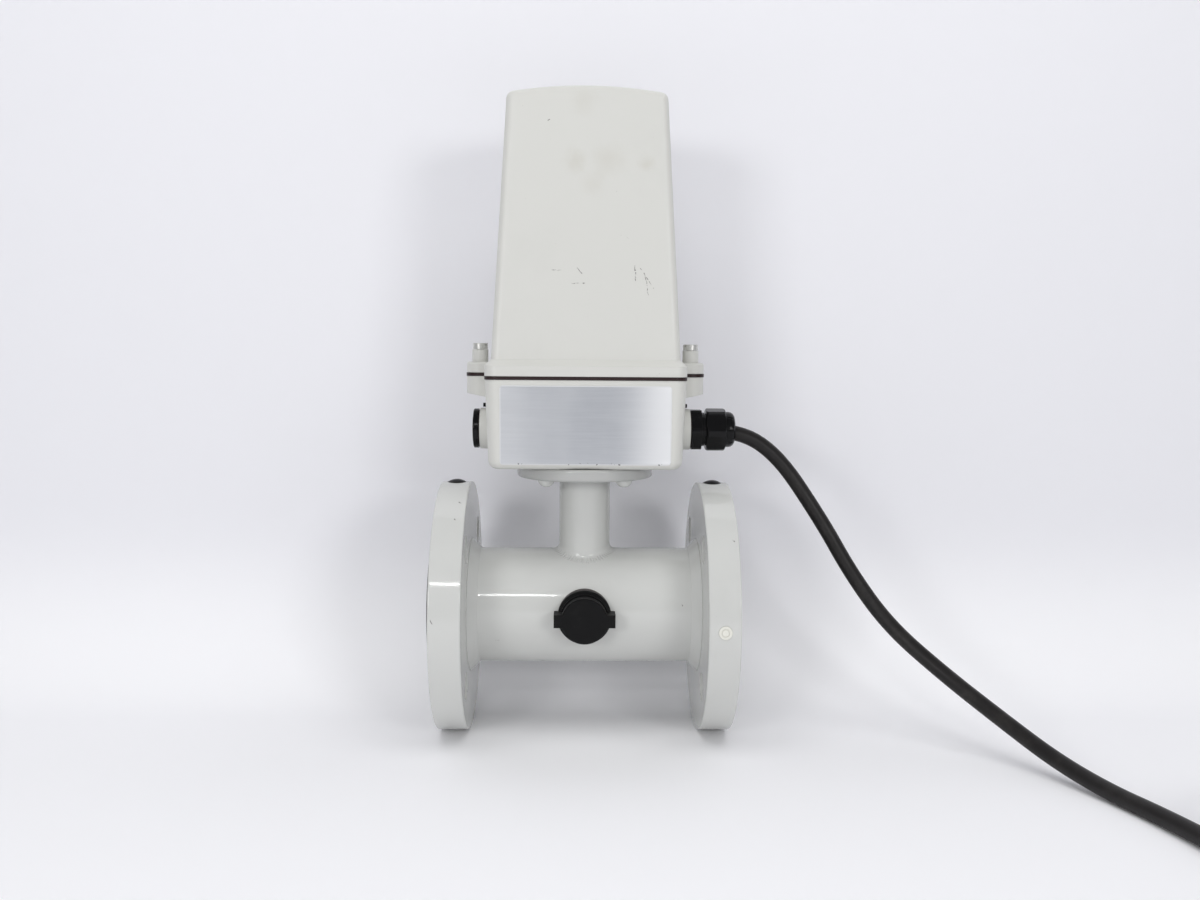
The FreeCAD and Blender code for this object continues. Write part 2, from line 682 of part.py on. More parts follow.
# ---------------------------------------------------------------- neck
def neck_flange():
    """The disc that carries the terminal box on the neck pipe."""
    disc = rod(NECK_FLANGE_DIA, NECK_TOP, BOX_BASE, Z, (MID, 0, 0))
    disc = round_edges(disc, NECK_FLANGE_EDGE, lambda edge: is_circle(edge, NECK_FLANGE_DIA / 2))
    cuts = [rod(2 * NECK_INNER, NECK_TOP, BOX_BASE, Z, (MID, 0, 0)), neck_seal()]
    for x, y in polar(NECK_SCREW_CIRCLE_DIA, NECK_SCREW_COUNT):
        cuts.append(rod(NECK_SCREW_DIA, NECK_TOP, BOX_BASE, Z, (MID + x, y, 0)))
    return disc.cut(cuts)


def neck_seal():
    """The sealing ring in the top of the neck flange."""
    inner = NECK_SEAL_DIA - 2 * NECK_SEAL_WIDTH
    return sleeve(NECK_SEAL_DIA, inner, BOX_BASE - NECK_SEAL_DEPTH, BOX_BASE, Z, (MID, 0, 0))


def neck_screws():
    """Dome-head screws that hold the terminal box, from below."""
    height = NECK_SCREW_HEAD_HEIGHT
    dome = ball_radius(NECK_SCREW_HEAD_DIA, height)
    screws = []
    for x, y in polar(NECK_SCREW_CIRCLE_DIA, NECK_SCREW_COUNT):
        place = (MID + x, y, 0)
        head = rod(NECK_SCREW_HEAD_DIA, NECK_TOP - height, NECK_TOP, Z, place)
        head = head.common(Part.makeSphere(dome, V(MID + x, y, NECK_TOP - height + dome)))
        shank = rod(NECK_SCREW_DIA, NECK_TOP, BOX_BASE + NECK_SCREW_GRIP, Z, place)
        key = hexagon(NECK_SCREW_KEY, NECK_TOP - height, NECK_TOP - height / 2, Z, place)
        screws.append(head.fuse(shank).removeSplitter().cut(key))
    return Part.makeCompound(screws)


def sensor_cable():
    """The cable from the coils and electrodes, up the neck to the terminal board."""
    return rod(SENSOR_CABLE_DIA, YOKE_OUTER, BOARD_BASE, Z, (MID, 0, 0))


# ---------------------------------------------------------------- terminal box
def ear_plan(start, end, dia=EAR_DIA, inner=0.0):
    """The two side ears in plan, from start to end in height, each a slot shape out to its round end."""
    shapes = []
    for side in (1, -1):
        centre = MID + side * EAR_CENTRE
        root = MID + side * inner
        shapes.append(rod(dia, start, end, Z, (centre, 0, 0)))
        shapes.append(block(min(centre, root), max(centre, root), -dia / 2, dia / 2, start, end))
    return shapes


def lug_slope():
    """The wedges that are cut from under the lugs, so that they rise outwards."""
    cuts = []
    tip = EAR_CENTRE + EAR_DIA / 2
    root = BOX_BASE_WIDTH / 2
    for side in (1, -1):
        points = [
            V(MID + side * root, -EAR_DIA, EAR_SEAT - LUG_INNER_DROP),
            V(MID + side * (tip + 1), -EAR_DIA, EAR_SEAT - LUG_OUTER_DROP),
            V(MID + side * (tip + 1), -EAR_DIA, ENTRY_HEIGHT),
            V(MID + side * root, -EAR_DIA, ENTRY_HEIGHT),
        ]
        cuts.append(Part.Face(outline(points)).extrude(Y * 2 * EAR_DIA))
    return cuts


def terminal_box():
    """The cast box with its cable entries, screw lugs, floor bosses and pillars."""
    shell = tapered((BOX_BASE_WIDTH, BOX_BASE_DEPTH, BOX_CORNER, BOX_BASE),
                    (BOX_TOP_WIDTH, BOX_TOP_DEPTH, BOX_CORNER, BOX_TOP))
    shell = round_edges(shell, BOX_BOTTOM_EDGE, lambda edge: edge.BoundBox.ZMax < BOX_BASE + 1e-6)
    lugs = fused(ear_plan(ENTRY_HEIGHT, EAR_SEAT)).cut(lug_slope())
    land = BOX_TOP_WIDTH / 2 + GASKET_PROUD + GASKET_CLEARANCE
    lugs = lugs.cut(block(MID - land, MID + land, -EAR_DIA, EAR_DIA, BOX_TOP, EAR_SEAT))
    entries = rod(ENTRY_DIA, -ENTRY_REACH, ENTRY_REACH, X, (MID, 0, ENTRY_HEIGHT))
    body = fused([shell, lugs, entries])
    inner_corner = BOX_CORNER - BOX_WALL
    cavity = tapered(
        (BOX_BASE_WIDTH - 2 * BOX_WALL, BOX_BASE_DEPTH - 2 * BOX_WALL, inner_corner, BOX_BASE + BOX_FLOOR),
        (BOX_TOP_WIDTH - 2 * BOX_WALL, BOX_TOP_DEPTH - 2 * BOX_WALL, inner_corner, BOX_TOP + EAR_STEP))
    body = body.cut(cavity)
    floor_top = BOX_BASE + BOX_FLOOR
    bosses = []
    for x, y in polar(NECK_SCREW_CIRCLE_DIA, NECK_SCREW_COUNT):
        bosses.append(rod(BOX_BOSS_DIA, floor_top - 1, floor_top + BOX_BOSS_HEIGHT, Z, (MID + x, y, 0)))
    for x, y in pillar_places():
        bosses.append(rod(PILLAR_DIA, floor_top - 1, PILLAR_TOP, Z, (x, y, 0)))
    body = fused([body] + bosses)
    cuts = [
        rod(ENTRY_THREAD_DIA, -ENTRY_REACH, ENTRY_REACH, X, (MID, 0, ENTRY_HEIGHT)),
        rod(2 * NECK_INNER, BOX_BASE, floor_top, Z, (MID, 0, 0)),
    ]
    for x, y in polar(NECK_SCREW_CIRCLE_DIA, NECK_SCREW_COUNT):
        cuts.append(rod(NECK_SCREW_DIA, BOX_BASE, BOX_BASE + NECK_SCREW_GRIP, Z, (MID + x, y, 0)))
    for side in (1, -1):
        cuts.append(rod(SCREW_DIA + 2 * SCREW_CLEARANCE, EAR_SEAT - SCREW_GRIP - 1, EAR_SEAT, Z,
                        (MID + side * EAR_CENTRE, 0, 0)))
    return body.cut(cuts + [side_pins()])


def pillar_places():
    """The places of the four pillars that carry the transmitter module."""
    return [(MID + sx * PILLAR_X, sy * PILLAR_Y) for sx in (1, -1) for sy in (1, -1)]


def side_pins():
    """The small pins over the cable entries."""
    height = ENTRY_HEIGHT + ENTRY_DIA / 2 + SIDE_PIN_DIA / 2 + 0.6
    pins = []
    for side in (1, -1):
        place = (MID, 0, height)
        start = BOX_BASE_WIDTH / 2 - 1.0
        pins.append(rod(SIDE_PIN_DIA, start, SIDE_PIN_REACH, X * side, place))
    return Part.makeCompound(pins)


def gasket_pads(grow, end):
    """The raised ends of the gasket over the lugs."""
    inner = BOX_TOP_WIDTH / 2 - 1.0 - grow
    dia = EAR_DIA + 2 * GASKET_PROUD + 2 * grow
    return ear_plan(EAR_SEAT, end, dia, inner)


def box_gasket():
    """The gasket between the box and the cover, with a raised pad over each lug."""
    proud = 2 * GASKET_PROUD
    width, depth = BOX_TOP_WIDTH + proud, BOX_TOP_DEPTH + proud
    ring = rounded_plate(width, depth, BOX_CORNER, BOX_TOP, COVER_BOTTOM, (MID, 0.0))
    opening = rounded_plate(BOX_TOP_WIDTH - 2 * BOX_WALL, BOX_TOP_DEPTH - 2 * BOX_WALL,
                            BOX_CORNER - BOX_WALL, BOX_TOP, COVER_BOTTOM, (MID, 0.0))
    body = fused([ring.cut(opening)] + gasket_pads(0.0, EAR_UNDERSIDE))
    for side in (1, -1):
        hole = rod(SCREW_DIA + 1.0, EAR_SEAT, EAR_UNDERSIDE, Z, (MID + side * EAR_CENTRE, 0, 0))
        body = body.cut(hole)
    return body


# ---------------------------------------------------------------- cover
def cover_size(height, inset=0.0):
    """The cover's section (width, depth, corner, height) at a height, less an inset all round."""
    share = (height - COVER_BOTTOM) / COVER_HEIGHT
    width = COVER_BASE_WIDTH + (COVER_TOP_WIDTH - COVER_BASE_WIDTH) * share - 2 * inset
    depth = COVER_BASE_DEPTH + (COVER_TOP_DEPTH - COVER_BASE_DEPTH) * share - 2 * inset
    return width, depth, COVER_CORNER - min(inset, COVER_CORNER - 1.0), height


def arched(solid, inset):
    """Cut a solid to the cover's arched top, less an inset."""
    radius = ball_radius(COVER_TOP_WIDTH, COVER_ARCH)
    arch = rod(2 * (radius - inset), -FACE_TO_FACE, FACE_TO_FACE, Y, (MID, 0, COVER_TOP - radius))
    return solid.common(arch)


def cover_shell():
    """The cover's outer form: four leaning walls under an arched top, with every edge but the rim rounded."""
    ends = []
    for height in (COVER_BOTTOM, COVER_TOP + 1):
        width, depth, _, level = cover_size(height)
        x, y = width / 2, depth / 2
        corners = [(-x, -y), (x, -y), (x, y), (-x, y)]
        ends.append(outline([V(MID + corner_x, corner_y, level) for corner_x, corner_y in corners]))
    walls = arched(Part.makeLoft(ends, True, True), 0.0)
    return round_edges(walls, COVER_CORNER, lambda edge: edge.BoundBox.ZMax > COVER_BOTTOM + 1e-3)


def cover():
    """The tall transmitter cover: a tapered shell with an arched top, a base band, ears and a window."""
    shell = cover_shell()
    band_top = COVER_BOTTOM + COVER_BAND_HEIGHT
    band = rounded_plate(COVER_BAND_WIDTH, COVER_BAND_DEPTH, BOX_CORNER, COVER_BOTTOM, band_top, (MID, 0.0))
    slope = tapered((COVER_BAND_WIDTH, COVER_BAND_DEPTH, BOX_CORNER, band_top),
                    cover_size(band_top + COVER_BAND_SLOPE))
    ears = fused(ear_plan(EAR_UNDERSIDE, EAR_PLATE_TOP))
    ears = round_edges(ears, EAR_PLATE_EDGE, lambda edge: is_circle(edge, EAR_DIA / 2)
                       and edge.BoundBox.ZMin > EAR_PLATE_TOP - 1e-6)
    bosses = []
    for side in (1, -1):
        bosses.append(rod(SCREW_BOSS_DIA, EAR_UNDERSIDE, SCREW_SEAT, Z, (MID + side * EAR_CENTRE, 0, 0)))
    body = fused([shell, band, slope, ears] + bosses)
    inside = tapered(cover_size(COVER_BOTTOM - 1, COVER_WALL), cover_size(COVER_TOP, COVER_WALL))
    cuts = [arched(inside, COVER_WALL)] + gasket_pads(GASKET_CLEARANCE, EAR_UNDERSIDE)
    for side in (1, -1):
        cuts.append(rod(SCREW_DIA + 2 * SCREW_CLEARANCE, EAR_UNDERSIDE, SCREW_SEAT, Z,
                        (MID + side * EAR_CENTRE, 0, 0)))
    body = body.cut(cuts).cut(on_window(window_opening()))
    return body.fuse(on_window(frame_posts())).cut(on_window(frame_screw_shanks()))


# ---------------------------------------------------------------- window, drawn level, then laid on the wall
def on_window(shape):
    """Lay a shape drawn level, with +Z outwards, on the cover's far wall at the window."""
    lean = math.atan((COVER_BASE_DEPTH - COVER_TOP_DEPTH) / 2 / COVER_HEIGHT)
    outwards = V(0, math.cos(lean), math.sin(lean))
    upwards = V(0, -math.sin(lean), math.cos(lean))
    turn = FreeCAD.Rotation(-X, upwards, outwards, "ZXY")
    place = V(MID, cover_size(WINDOW_HEIGHT)[1] / 2, WINDOW_HEIGHT)
    moved = shape.copy()
    moved.Placement = FreeCAD.Placement(place, turn)
    return moved


def window_opening():
    """The opening through the wall, with its bevelled outer edge."""
    half_wall = COVER_WALL / 2
    through = rounded_plate(WINDOW_WIDTH, WINDOW_TALL, WINDOW_CORNER, -2 * COVER_WALL, COVER_WALL)
    low = rounded_wire(WINDOW_WIDTH, WINDOW_TALL, WINDOW_CORNER, -half_wall)
    grown = 2 * WINDOW_BEVEL
    high = rounded_wire(WINDOW_WIDTH + grown, WINDOW_TALL + grown, WINDOW_CORNER + WINDOW_BEVEL,
                        half_wall / 3)
    return through.fuse(Part.makeLoft([low, high], True, True))


def frame_screw_places():
    """The places of the window frame's screws, outside the glass."""
    half_x = WINDOW_WIDTH / 2 + FRAME_BORDER - 1.0
    half_y = WINDOW_TALL / 2 - FRAME_SCREW_INSET
    return [(sx * half_x, sy * half_y) for sx in (1, -1) for sy in (1, -1)]


def frame_posts():
    """The posts inside the wall that the frame's screws go into."""
    posts = [rod(FRAME_SCREW_HEAD_DIA + 1, -FRAME_LEVEL, -COVER_WALL / 2, Z, (x, y, 0))
             for x, y in frame_screw_places()]
    return Part.makeCompound(posts)


def window_seal():
    """The rubber ring between the wall and the glass."""
    outer = rounded_plate(GLASS_WIDTH, GLASS_TALL, WINDOW_CORNER, -GLASS_LEVEL, -SEAL_LEVEL)
    inner = rounded_plate(WINDOW_WIDTH, WINDOW_TALL, WINDOW_CORNER, -GLASS_LEVEL, -SEAL_LEVEL)
    return on_window(outer.cut(inner))


def window_glass():
    """The pane."""
    return on_window(rounded_plate(GLASS_WIDTH, GLASS_TALL, WINDOW_CORNER, -FRAME_LEVEL, -GLASS_LEVEL))


def window_frame():
    """The flat frame that clamps the pane from inside."""
    low, high = -FRAME_END_LEVEL, -FRAME_LEVEL
    width = WINDOW_WIDTH + 2 * (FRAME_BORDER + FRAME_END)
    outer = rounded_plate(width, GLASS_TALL, WINDOW_CORNER, low, high)
    inner = rounded_plate(WINDOW_WIDTH - 2 * FRAME_LIP, WINDOW_TALL - 2 * FRAME_LIP, WINDOW_CORNER, low, high)
    return on_window(outer.cut([inner, frame_screw_shanks()]))


def frame_screw_shanks():
    """The shanks of the frame's screws."""
    low, high = -FRAME_END_LEVEL, -COVER_WALL
    return Part.makeCompound([rod(FRAME_SCREW_DIA, low, high, Z, (x, y, 0)) for x, y in frame_screw_places()])


def window_screws():
    """The four screws of the window frame."""
    base = -FRAME_END_LEVEL
    screws = []
    for x, y in frame_screw_places():
        head = rod(FRAME_SCREW_HEAD_DIA, base - FRAME_SCREW_HEAD_HEIGHT, base, Z, (x, y, 0))
        shank = rod(FRAME_SCREW_DIA, base, -COVER_WALL, Z, (x, y, 0))
        screws.append(head.fuse(shank).removeSplitter())
    return on_window(Part.makeCompound(screws))


def cover_screw(side):
    """A slotted cheese-head screw through the cover's ear into the lug; side is 1 or -1."""
    place = (MID + side * EAR_CENTRE, 0, 0)
    seat = SCREW_SEAT + SEAT_GAP
    top = seat + SCREW_HEAD_HEIGHT
    head = rod(SCREW_HEAD_DIA, seat, top, Z, place)
    head = round_edges(head, SCREW_EDGE, lambda edge: is_circle(edge, SCREW_HEAD_DIA / 2)
                       and edge.BoundBox.ZMin > seat + 1)
    shank = rod(SCREW_DIA, EAR_SEAT - SCREW_GRIP, seat, Z, place)
    half, reach = SCREW_SLOT_WIDTH / 2, SCREW_HEAD_DIA
    slot = block(place[0] - reach, place[0] + reach, -half, half, top - SCREW_SLOT_DEPTH, top)
    slot.rotate(V(*place), Z, SCREW_SLOT_TURN * side)
    return head.fuse(shank).removeSplitter().cut(slot)


# ---------------------------------------------------------------- cable entries
def entry_seal(side):
    """The flat ring between an entry and what is screwed into it."""
    return sleeve(GLAND_SEAL_DIA, ENTRY_THREAD_DIA, ENTRY_REACH, GLAND_START, X * side, ENTRY_AXIS)


def blanking_plug():
    """The plug of the unused entry: a low domed head with a coin slot, and a hollow spigot."""
    start = GLAND_START + SEAT_GAP
    end = start + BLANK_HEAD_THICKNESS
    rim = MID - end + BLANK_DOME
    dome = ball_radius(BLANK_HEAD_DIA, BLANK_DOME)
    head = rod(BLANK_HEAD_DIA, start, end, -X, ENTRY_AXIS)
    head = head.common(Part.makeSphere(dome, V(MID - end + dome, 0, ENTRY_HEIGHT)))
    head = round_edges(head, BLANK_EDGE, lambda edge: is_circle(edge, BLANK_HEAD_DIA / 2)
                       and edge.CenterOfMass.x < rim + 0.5)
    spigot_start = ENTRY_REACH - ENTRY_SPIGOT_LENGTH
    spigot_dia = ENTRY_THREAD_DIA - 2 * THREAD_CLEARANCE
    spigot = rod(spigot_dia, spigot_start, start, -X, ENTRY_AXIS)
    hollow = rod(spigot_dia - 2 * SPIGOT_WALL, spigot_start, start - 1.0, -X, ENTRY_AXIS)
    half_length, half_width = COIN_SLOT_LENGTH / 2, COIN_SLOT_WIDTH / 2
    slot = block(MID - end - 1, MID - end + COIN_SLOT_DEPTH, -half_length, half_length,
                 ENTRY_HEIGHT - half_width, ENTRY_HEIGHT + half_width)
    return head.fuse(spigot).removeSplitter().cut([hollow, slot])


def gland_body():
    """The gland's body: spigot, hexagon, collar and the thread for its nut."""
    spigot_start = ENTRY_REACH - ENTRY_SPIGOT_LENGTH
    grip = hexagon(GLAND_FLATS, GLAND_START, COLLAR_START, X, ENTRY_AXIS)
    grip = grip.common(rod(1.1 * GLAND_FLATS, GLAND_START, COLLAR_START, X, ENTRY_AXIS))
    thread_end = COLLAR_START + GLAND_COLLAR_LENGTH + GLAND_THREAD_LENGTH
    pieces = [
        rod(ENTRY_THREAD_DIA, spigot_start, GLAND_START, X, ENTRY_AXIS),
        grip,
        rod(GLAND_COLLAR_DIA, COLLAR_START, COLLAR_START + GLAND_COLLAR_LENGTH, X, ENTRY_AXIS),
        rod(GLAND_THREAD_DIA, COLLAR_START, thread_end, X, ENTRY_AXIS),
    ]
    return fused(pieces).cut(rod(GLAND_BORE_DIA, spigot_start, thread_end, X, ENTRY_AXIS))


def gland_insert():
    """The rubber bush that grips the cord."""
    end = COLLAR_START + GLAND_COLLAR_LENGTH + GLAND_THREAD_LENGTH
    return sleeve(GLAND_BORE_DIA, CORD_DIA, end - INSERT_LENGTH, end, X, ENTRY_AXIS)


def gland_nut():
    """The dome nut: a hexagon with broken corners, a slotted dome and the cord's mouth."""
    grip_end = NUT_START + NUT_GRIP_LENGTH
    grip = hexagon(NUT_FLATS, NUT_START, grip_end, X, ENTRY_AXIS, NUT_TURN)
    bar = rod(NUT_CORNER_DIA, NUT_START, grip_end, X, ENTRY_AXIS)
    bar = round_edges(bar, NUT_CORNER_EDGE, lambda edge: is_circle(edge, NUT_CORNER_DIA / 2))
    grip = grip.common(bar)
    dome_radius, mouth = NUT_DOME_DIA / 2, NUT_MOUTH_DIA / 2
    bend = dome_radius - mouth - NUT_DOME_LIP
    steps = [V(NUT_START, 0, 0), V(NUT_START, 0, dome_radius)]
    for step in range(5):
        angle = math.radians(22.5 * step)
        along = NUT_END - bend + bend * math.sin(angle)
        steps.append(V(along, 0, dome_radius - bend * (1 - math.cos(angle))))
    steps.append(V(NUT_END, 0, 0))
    dome = turned(steps, X)
    dome.translate(V(*ENTRY_AXIS))
    thread = GLAND_THREAD_DIA / 2 + NUT_WALL_GAP
    thread_end = NUT_START + GLAND_THREAD_LENGTH + NUT_WALL_GAP
    insert = INSERT_DIA / 2 + NUT_WALL_GAP
    hollow = turned([
        V(NUT_START, 0, 0), V(NUT_START, 0, thread), V(thread_end, 0, thread),
        V(thread_end + NUT_INNER_SLOPE, 0, insert), V(NUT_END - NUT_LIP_LENGTH, 0, mouth),
        V(NUT_END, 0, mouth), V(NUT_END, 0, 0),
    ], X)
    hollow.translate(V(*ENTRY_AXIS))
    cuts = [hollow]
    half = NUT_SLOT_WIDTH / 2
    for number in range(NUT_SLOTS):
        slot = block(grip_end + NUT_SLOT_WIDTH, NUT_END - NUT_SLOT_DEPTH, -half, half,
                     dome_radius - NUT_SLOT_DEPTH, dome_radius + 1)
        slot.rotate(V(0, 0, 0), X, 360.0 * number / NUT_SLOTS)
        slot.translate(V(*ENTRY_AXIS))
        cuts.append(slot)
    return fused([grip, dome]).cut(cuts)


# ---------------------------------------------------------------- electronics
def terminal_board():
    """The printed circuit board on the floor of the box."""
    return rounded_plate(BOARD_WIDTH, BOARD_DEPTH, BOARD_CORNER, BOARD_BASE, BOARD_TOP, (MID, 0.0))


def board_spacers():
    """The spacers under the terminal board."""
    half_x, half_y = BOARD_WIDTH / 2 - BOARD_SPACER_INSET, BOARD_DEPTH / 2 - BOARD_SPACER_INSET
    places = [(MID + sx * half_x, sy * half_y, 0) for sx in (1, -1) for sy in (1, -1)]
    spacers = [rod(BOARD_SPACER_DIA, BOX_BASE + BOX_FLOOR, BOARD_BASE, Z, place) for place in places]
    return Part.makeCompound(spacers)


def terminals(side):
    """A row of screw terminals with wire mouths outwards; side is 1 or -1."""
    outer = MID + side * (BOARD_WIDTH / 2 - TERMINAL_INSET)
    centre = outer - side * TERMINAL_WIDTH / 2
    half = TERMINAL_LENGTH / 2
    body = block(centre - TERMINAL_WIDTH / 2, centre + TERMINAL_WIDTH / 2, -half, half,
                 BOARD_TOP, BOARD_TOP + TERMINAL_HEIGHT)
    cuts = []
    for way in range(TERMINAL_WAYS):
        y = -half + TERMINAL_PITCH * (way + 0.5)
        well = TERMINAL_HEIGHT - TERMINAL_WELL_DEPTH
        cuts.append(rod(0.62 * TERMINAL_PITCH, well, TERMINAL_HEIGHT, Z, (centre, y, BOARD_TOP)))
        mouth_dia = CORE_DIA + 2 * TERMINAL_MOUTH_GAP
        cuts.append(rod(mouth_dia, -TERMINAL_MOUTH_DEPTH, 0, X * side, (outer, y, TERMINAL_MOUTH)))
    return body.cut(cuts)


def supply_cores():
    """The end of the cord's sheath inside the gland, and its cores to the terminals."""
    pieces = [rod(CORD_DIA, SHEATH_END, CORD_ROUTE[0][0], X, (0, 0, ENTRY_HEIGHT))]
    mouth = MID + BOARD_WIDTH / 2 - TERMINAL_INSET
    bent = mouth + CORE_STRAIGHT
    reach = (SHEATH_END - mouth) / 3
    for number in (-1, 0, 1):
        start = V(SHEATH_END, CORE_OFFSET * number, ENTRY_HEIGHT)
        end = V(bent, (number + 0.5) * TERMINAL_PITCH, TERMINAL_MOUTH)
        poles = [start + X * CORE_OVERLAP, start - X * reach, end + X * reach, end]
        curve = Part.BezierCurve()
        curve.setPoles(poles)
        path = Part.Wire([curve.toShape()])
        circle = Part.Wire([Part.makeCircle(CORE_DIA / 2, poles[0], -X)])
        pieces.append(path.makePipeShell([circle], True, True))
        pieces.append(rod(CORE_DIA, 0, CORE_STRAIGHT + CORE_ENTRY, -X, tuple(end)))
    return fused(pieces)


def module_chassis():
    """The transmitter's moulded frame: a foot plate, two leaning cheeks and a web between them."""
    plate = rounded_plate(CHASSIS_WIDTH, CHASSIS_DEPTH, CHASSIS_CORNER, PILLAR_TOP, CHASSIS_BASE, (MID, 0.0))
    plate = plate.cut(rounded_plate(WIRE_OPENING_WIDTH, WIRE_OPENING_DEPTH, WIRE_OPENING_CORNER,
                                    PILLAR_TOP, CHASSIS_BASE, (MID, WIRE_OPENING_Y)))
    slots = []
    for level in range(3):
        slot = rounded_plate(CHEEK_SLOT_TALL, CHEEK_SLOT_WIDTH, CHEEK_SLOT_CORNER,
                             -CHASSIS_WIDTH, CHASSIS_WIDTH)
        slot.rotate(V(0, 0, 0), Y, 90)
        slot.translate(V(MID, CHEEK_SLOT_Y, CHASSIS_BASE + CHEEK_SLOT_RISE + CHEEK_SLOT_PITCH * level))
        slots.append(slot)
    cheeks = [chassis_wall(side, CHASSIS_CHEEK_DEPTH, CHASSIS_CHEEK).cut(slots) for side in (1, -1)]
    web = chassis_wall(0, CHASSIS_WEB, 1.0)
    return fused([plate, web] + cheeks)


def chassis_wall(side, depth, thickness):
    """A cheek of the chassis at one side, 1 or -1, or with side 0 the web between both cheeks."""
    outer = [(CHASSIS_BASE_HALF, CHASSIS_BASE), (CHASSIS_TOP_HALF, CHASSIS_TOP)]
    if side:
        near = [V(MID + side * x, -depth / 2, z) for x, z in outer]
        far = [V(MID + side * (x - thickness), -depth / 2, z) for x, z in reversed(outer)]
    else:
        near = [V(MID + x - thickness, -depth / 2, z) for x, z in outer]
        far = [V(MID - x + thickness, -depth / 2, z) for x, z in reversed(outer)]
    return Part.Face(outline(near + far)).extrude(Y * depth)


def module_screws():
    """The screws that hold the transmitter module on the box's pillars."""
    half_head, half_slot = MODULE_SCREW_HEAD_DIA / 2, MODULE_SCREW_SLOT_WIDTH / 2
    top = CHASSIS_BASE + MODULE_SCREW_HEAD_HEIGHT
    screws = []
    for x, y in pillar_places():
        head = rod(MODULE_SCREW_HEAD_DIA, CHASSIS_BASE, top, Z, (x, y, 0))
        slot = block(x - half_head, x + half_head, y - half_slot, y + half_slot,
                     top - MODULE_SCREW_SLOT_DEPTH, top)
        screws.append(head.cut(slot))
    return Part.makeCompound(screws)


def circuit(side):
    """A circuit board against the web of the chassis, on its far side for 1 and its near side for -1."""
    half = CHASSIS_TOP_HALF - CIRCUIT_SIDE_GAP
    return standing(side, CHASSIS_WEB / 2, 0.0, 2 * half, CIRCUIT_LOW, CIRCUIT_HIGH, CIRCUIT_THICKNESS)


def standing(side, start, x, width, low, high, depth):
    """A block on the near (-1) or far (1) side of the web, from start to start + depth off its middle."""
    near, far = sorted((side * start, side * (start + depth)))
    return block(MID + x - width / 2, MID + x + width / 2, near, far, low, high)


def power_board():
    """The supply board on the near side of the web, with its transformer, capacitors and connector."""
    front = CHASSIS_WEB / 2 + CIRCUIT_THICKNESS
    pieces = [circuit(-1)]
    low = CIRCUIT_LOW + TRANSFORMER_RISE
    pieces.append(standing(-1, front, TRANSFORMER_X, TRANSFORMER_WIDTH, low, low + TRANSFORMER_TALL,
                           TRANSFORMER_DEPTH))
    for number in range(CAPACITOR_COUNT):
        place = (MID + CAPACITOR_X, 0, CIRCUIT_LOW + CAPACITOR_RISE + CAPACITOR_PITCH * number)
        pieces.append(rod(CAPACITOR_DIA, front, front + CAPACITOR_LENGTH, -Y, place))
    low = CIRCUIT_LOW + CONVERTER_RISE
    pieces.append(standing(-1, front, CONVERTER_X, CONVERTER_WIDTH, low, low + CONVERTER_TALL,
                           CONVERTER_DEPTH))
    low = CIRCUIT_HIGH - CONNECTOR_DROP
    pieces.append(standing(-1, front, 0.0, CONNECTOR_WIDTH, low, low + CONNECTOR_TALL, CONNECTOR_DEPTH))
    return fused(pieces)


def signal_board():
    """The measuring board on the far side of the web, with its screened amplifier."""
    front = CHASSIS_WEB / 2 + CIRCUIT_THICKNESS
    low = CIRCUIT_LOW + SCREEN_RISE
    screen = standing(1, front, 0.0, SCREEN_WIDTH, low, low + SCREEN_TALL, SCREEN_DEPTH)
    return fused([circuit(1), screen])


def display_module():
    """The display: a housing for the pane, on four posts from the signal board."""
    back = DISPLAY_FRONT - DISPLAY_BODY
    half_x, half_z = DISPLAY_WIDTH / 2, DISPLAY_TALL / 2
    low, high = WINDOW_HEIGHT - half_z, WINDOW_HEIGHT + half_z
    body = standing(1, back, 0.0, DISPLAY_WIDTH, low, high, DISPLAY_BODY)
    recess = standing(1, DISPLAY_FRONT - DISPLAY_RECESS, 0.0, DISPLAY_WIDTH - 2 * DISPLAY_BORDER,
                      low + DISPLAY_BORDER, high - DISPLAY_BORDER, DISPLAY_RECESS)
    base = CHASSIS_WEB / 2 + CIRCUIT_THICKNESS
    x, z = half_x - DISPLAY_POST_INSET, half_z - DISPLAY_POST_INSET
    places = [(MID + sx * x, 0, WINDOW_HEIGHT + sz * z) for sx in (1, -1) for sz in (1, -1)]
    posts = [rod(DISPLAY_POST_DIA, base, back, Y, place) for place in places]
    return fused([body.cut(recess)] + posts)


def display_pane():
    """The liquid-crystal pane in the display's recess."""
    half_z = DISPLAY_TALL / 2 - DISPLAY_BORDER
    return standing(1, DISPLAY_FRONT - DISPLAY_RECESS, 0.0, DISPLAY_WIDTH - 2 * DISPLAY_BORDER,
                    WINDOW_HEIGHT - half_z, WINDOW_HEIGHT + half_z, DISPLAY_RECESS + PANE_PROUD)


# ---------------------------------------------------------------- cord
def cord_wire():
    """The cord's centre line: straight runs joined by tangent arcs, each as large as its runs allow."""
    points = [V(*point) for point in CORD_ROUTE]
    edges, radii = [], []
    last = points[0]
    for before, corner, after in zip(points, points[1:], points[2:]):
        into, out = corner - before, after - corner
        half_turn = into.getAngle(out) / 2
        trim = 0.45 * min(into.Length, out.Length)
        start = corner - into.normalize() * trim
        end = corner + out.normalize() * trim
        radius = trim / math.tan(half_turn)
        inwards = (end - corner + start - corner).normalize()
        middle = corner + inwards * (radius / math.cos(half_turn) - radius)
        edges.append(Part.LineSegment(last, start).toShape())
        edges.append(Part.Arc(start, middle, end).toShape())
        radii.append(round(radius))
        last = end
    edges.append(Part.LineSegment(last, points[-1]).toShape())
    print("cord arc radii", radii)
    return Part.Wire(edges)


